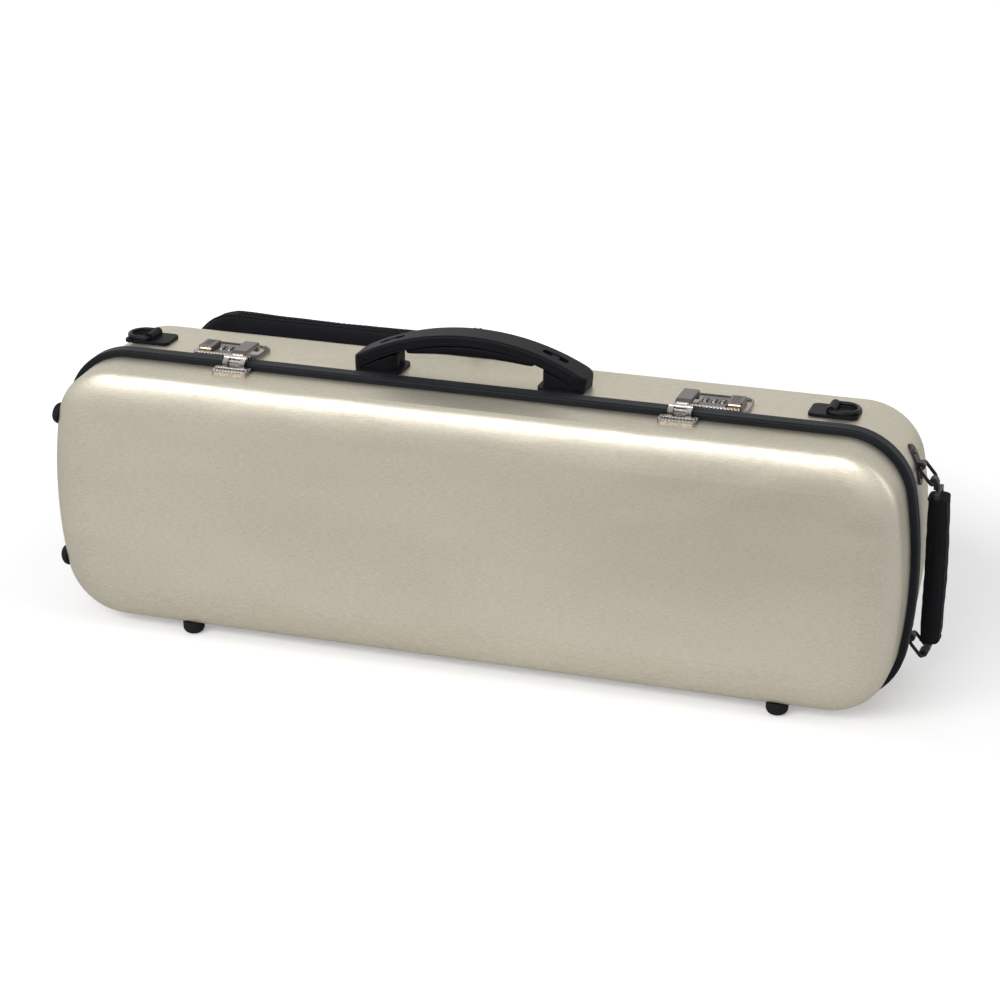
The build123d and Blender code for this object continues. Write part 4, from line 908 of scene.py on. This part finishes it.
def make_digits(node_name):
    low_corner, high_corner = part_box(node_name)
    middle = (low_corner + high_corner) / 2
    radius = (high_corner.z - low_corner.z) / 2
    digit_size, digit_rise = 0.0054, 0.00008
    joined = bmesh.new()
    for digit in range(10):
        curve = bpy.data.curves.new(f"digit_{digit}", "FONT")
        curve.body = str(digit)
        curve.size = digit_size
        curve.align_x = "CENTER"
        curve.align_y = "CENTER"
        holder = bpy.data.objects.new(f"digit_{digit}", curve)
        mesh = bpy.data.meshes.new_from_object(holder)
        turn = math.radians(36 * digit)
        for vertex in mesh.vertices:
            angle = turn + vertex.co.y / radius
            reach = radius + digit_rise
            across, up = reach * math.sin(angle), reach * math.cos(angle)
            vertex.co = Vector((middle.x + vertex.co.x, middle.y + across, middle.z + up))
        joined.from_mesh(mesh)
        bpy.data.objects.remove(holder)
    mesh = bpy.data.meshes.new(f"numbers_{node_name}")
    joined.to_mesh(mesh)
    joined.free()
    finish_piece(f"numbers_{node_name}", mesh, "digit_paint", node_name.replace("lock_dial", "dial"))


def make_plate_ropes(side_name, sign):
    plate_low, plate_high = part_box(f"lock_plate_{side_name}")
    x_low, x_high = plate_low.x - mid_x, plate_high.x - mid_x
    plate_top, end_inset = 0.0034, 0.005
    front = (0.0128, 0.0019, 0.0021, "nickel")
    back = (0.0537, 0.0009, 0.0006, "gunmetal")
    for row, (y, radius, rise, look) in enumerate((front, back)):
        run = x_high - x_low - 2 * end_inset
        path = [lock_point(x_low + end_inset + run * s / 150, y, plate_top + rise) for s in range(151)]
        tube(f"plate_rope_{side_name}_{row}", path, radius, look, "base", 14, twist=(0.0066, 0.62))
    side_inset, side_start, side_run, side_radius = 0.0018, 0.0175, 0.031, 0.0008
    x = x_low + side_inset if sign > 0 else x_high - side_inset
    path = [lock_point(x, side_start + side_run * s / 80, plate_top + 0.0004) for s in range(81)]
    tube(f"plate_side_rope_{side_name}", path, side_radius, "gunmetal", "base", 12, twist=(0.0052, 0.55))


def make_keeper_ropes(side_name):
    keep_low, keep_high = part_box(f"keeper_{side_name}")
    keep_x = (keep_low.x + keep_high.x) / 2 - mid_x
    wide = keep_high.x - keep_low.x - 0.004
    for row, (y, z, radius) in enumerate(((-0.0238, 0.0024, 0.0014), (-0.0186, 0.0038, 0.0013))):
        path = []
        for step in range(61):
            path.append(Vector((mid_x + keep_x + wide * (step / 60 - 0.5), part_y + y, shell_top + z)))
        tube(f"keeper_rope_{side_name}_{row}", path, radius, "nickel", "lid", 12, twist=(0.0062, 0.62))


def make_barrel(side_name):
    """Ribbed bands round the hasp's barrel and along its link, and a cover under the barrel."""
    link_low, link_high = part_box(f"hasp_link_{side_name}")
    start, length = link_low.x, link_high.x - link_low.x
    pin_y, pin_z = part_y - 0.0055, link_high.z - 0.0027
    first_half = [(0, 0.8), (0.04, 1), (0.30, 1), (0.34, 0.9), (0.38, 1)]
    ribs = first_half + [(0.62, 1), (0.66, 0.9), (0.70, 1), (0.96, 1), (1, 0.8)]
    for row, (y, z, radius) in enumerate(((0.0, 0.0, 0.00285), (0.0046, 0.0012, 0.0017))):
        rings = []
        for step, reach in ribs:
            ring = []
            for point in range(20):
                turn = 2 * math.pi * point / 20
                across, up = radius * reach * math.cos(turn), radius * reach * math.sin(turn)
                ring.append(Vector((start + length * step, pin_y + y + across, pin_z + z + up)))
            rings.append(ring)
        name = f"barrel_band_{side_name}_{row}"
        finish_piece(name, lofted(name, rings), "nickel", f"hasp_{side_name}")
    cover_radius, cover_ply, overlap = 0.0034, Vector((0, -0.0007, 0.0002)), 0.0004
    curl = []
    for turn in (195, 200):
        angle = math.radians(turn)
        curl.append((cover_radius * math.cos(angle), cover_radius * math.sin(angle)))
    curl += [(-0.0040, -0.0034), (-0.0046, -0.0058)]
    rings = []
    for x in (link_low.x - overlap, link_high.x + overlap):
        outer = [Vector((x, pin_y + a, pin_z + b)) for a, b in curl]
        rings.append(outer + [point + cover_ply for point in reversed(outer)])
    name = f"barrel_cover_{side_name}"
    finish_piece(name, lofted(name, rings), "keeper_plate", "lid", smooth=False)


def make_button_front(side_name):
    button_low, button_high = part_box(f"lock_button_{side_name}")
    half_depth, half_height, end_gap = 0.0016, 0.0022, 0.0008
    rings = []
    for share, reach in ((0, 0.55), (0.05, 0.9), (0.12, 1), (0.88, 1), (0.95, 0.9), (1, 0.55)):
        x = button_low.x + end_gap + (button_high.x - button_low.x - 2 * end_gap) * share
        ring = []
        for point in range(18):
            turn = 2 * math.pi * point / 18
            across, up = half_depth * reach * math.cos(turn), half_height * reach * math.sin(turn)
            ring.append(Vector((x, button_low.y + 0.0007 + across, button_low.z + 0.0030 + up)))
        rings.append(ring)
    name = f"button_front_{side_name}"
    finish_piece(name, lofted(name, rings), "brass", f"button_{side_name}")


for side_name, sign in (("left", -1), ("right", 1)):
    for dial in (1, 2, 3):
        make_digits(f"lock_dial_{side_name}_{dial}")
    make_plate_ropes(side_name, sign)
    make_keeper_ropes(side_name)
    make_barrel(side_name)
    make_button_front(side_name)


# Carry handle's moulded bead along both lower edges of the strap
bead_half, bead_side, bead_flare, bead_radius = 0.104, 0.0157, 0.0014, 0.00085
strap_half = 0.115
for side in (-1, 1):
    path = []
    for step in range(81):
        x = bead_half * (2 * step / 80 - 1)
        wide = bead_side + bead_flare * (x / strap_half) ** 2
        path.append(handle_point(x, side * wide, strap_height(x, strap_radius - 0.0072)))
    tube(f"strap_bead_{'back' if side > 0 else 'front'}", path, bead_radius, "black_plastic", "handle", 8)


# Floor, light and camera
def make_floor():
    """A pale floor that whitens for the camera away from the case and keeps its shadow near it."""
    bpy.ops.mesh.primitive_plane_add(size=14, location=(0, 0, 0))
    floor = bpy.context.object
    floor.name = "floor"
    material, tree, shader = tree_of("floor")
    shader.inputs["Base Color"].default_value = (0.82, 0.82, 0.82, 1)
    shader.inputs["Roughness"].default_value = 0.7
    shader.inputs["Specular IOR Level"].default_value = 0.15
    light_path = add_node(tree, "ShaderNodeLightPath")
    distance = add_node(tree, "ShaderNodeVectorMath", [(coords(tree), "Vector")], operation="LENGTH")
    near_glow, far_glow, near_edge, far_edge = 0.30, 0.56, 0.52, 0.85
    away = ranged(tree, distance.outputs["Value"], near_glow, far_glow, near_edge, far_edge)
    seen_glow = math_of(tree, "MULTIPLY", light_path.outputs["Is Camera Ray"], away)
    glow = add_node(tree, "ShaderNodeEmission", [(seen_glow, "Strength")])
    both = add_node(tree, "ShaderNodeAddShader")
    tree.links.new(shader.outputs[0], both.inputs[0])
    tree.links.new(glow.outputs[0], both.inputs[1])
    tree.links.new(both.outputs[0], tree.nodes["Material Output"].inputs["Surface"])
    floor.data.materials.append(material)


def area_light(name, place, target, size, power):
    data = bpy.data.lights.new(name, "AREA")
    data.shape = "RECTANGLE"
    data.size, data.size_y = size
    data.energy = power
    lamp = bpy.data.objects.new(name, data)
    lamp.location = place
    lamp.rotation_euler = (Vector(target) - Vector(place)).to_track_quat("-Z", "Y").to_euler()
    bpy.context.scene.collection.objects.link(lamp)


def make_card(name, low_corner, high_corner, height, shade):
    """A dull card out of the camera's sight, which the polished shells reflect."""
    (x_low, y_low), (x_high, y_high) = low_corner, high_corner
    corners = ((x_low, y_low), (x_high, y_low), (x_high, y_high), (x_low, y_high))
    mesh = mesh_of(name, [(x, y, height) for x, y in corners], [(0, 1, 2, 3)])
    card = bpy.data.objects.new(name, mesh)
    bpy.context.scene.collection.objects.link(card)
    material, tree, shader = tree_of(name)
    shader.inputs["Base Color"].default_value = (shade, shade, shade * 0.97, 1)
    shader.inputs["Roughness"].default_value = 0.9
    card.data.materials.append(material)
    card.visible_camera = False
    card.visible_shadow = False
    card.visible_diffuse = False


make_floor()
make_card("front_card", (-1.6, -2.4), (1.8, -0.66), 0.004, 0.5)
make_card("near_card", (0.02, -0.62), (0.56, -0.38), 0.006, 0.28)
area_light("key", (-0.6, -2.4, 1.75), (0, -0.05, 0.12), (3.0, 1.0), 66)
area_light("side", (2.6, -0.7, 1.4), (0.1, 0, 0.12), (1.0, 1.6), 10)
area_light("back", (-0.4, 2.2, 2.2), (0, 0, 0.2), (2.4, 0.9), 1)

world = bpy.data.worlds.new("studio")
bpy.context.scene.world = world
world.use_nodes = True
tree = world.node_tree
background = tree.nodes["Background"]
light_path = add_node(tree, "ShaderNodeLightPath")
seen = math_of(tree, "MAXIMUM", light_path.outputs["Is Camera Ray"], light_path.outputs["Is Glossy Ray"])
seen = math_of(tree, "MAXIMUM", seen, light_path.outputs["Is Transmission Ray"])
tree.links.new(mixed(tree, seen, (0.46, 0.46, 0.47), (1.0, 1.0, 1.0)), background.inputs["Color"])
background.inputs["Strength"].default_value = 1.0

camera_data = bpy.data.cameras.new("camera")
camera = bpy.data.objects.new("camera", camera_data)
bpy.context.scene.collection.objects.link(camera)
camera_data.sensor_width = 36
camera_data.lens = 99.43
camera_data.clip_end = 60
camera_distance, camera_roll = 2.59505, math.radians(-0.09)
target = Vector((mid_x + 0.02453, part_y, 0.16205))
azimuth, elevation = math.radians(17.99), math.radians(22.22)
level = math.cos(elevation)
back = Vector((math.sin(azimuth) * level, -math.cos(azimuth) * level, math.sin(elevation)))
camera.location = target + back * camera_distance
rotation = back.to_track_quat("Z", "Y").to_matrix().to_4x4()
camera.rotation_euler = (rotation @ Matrix.Rotation(camera_roll, 4, "Z")).to_euler()
bpy.context.scene.camera = camera
bpy.context.scene.view_settings.view_transform = "Standard"

bpy.context.view_layer.update()
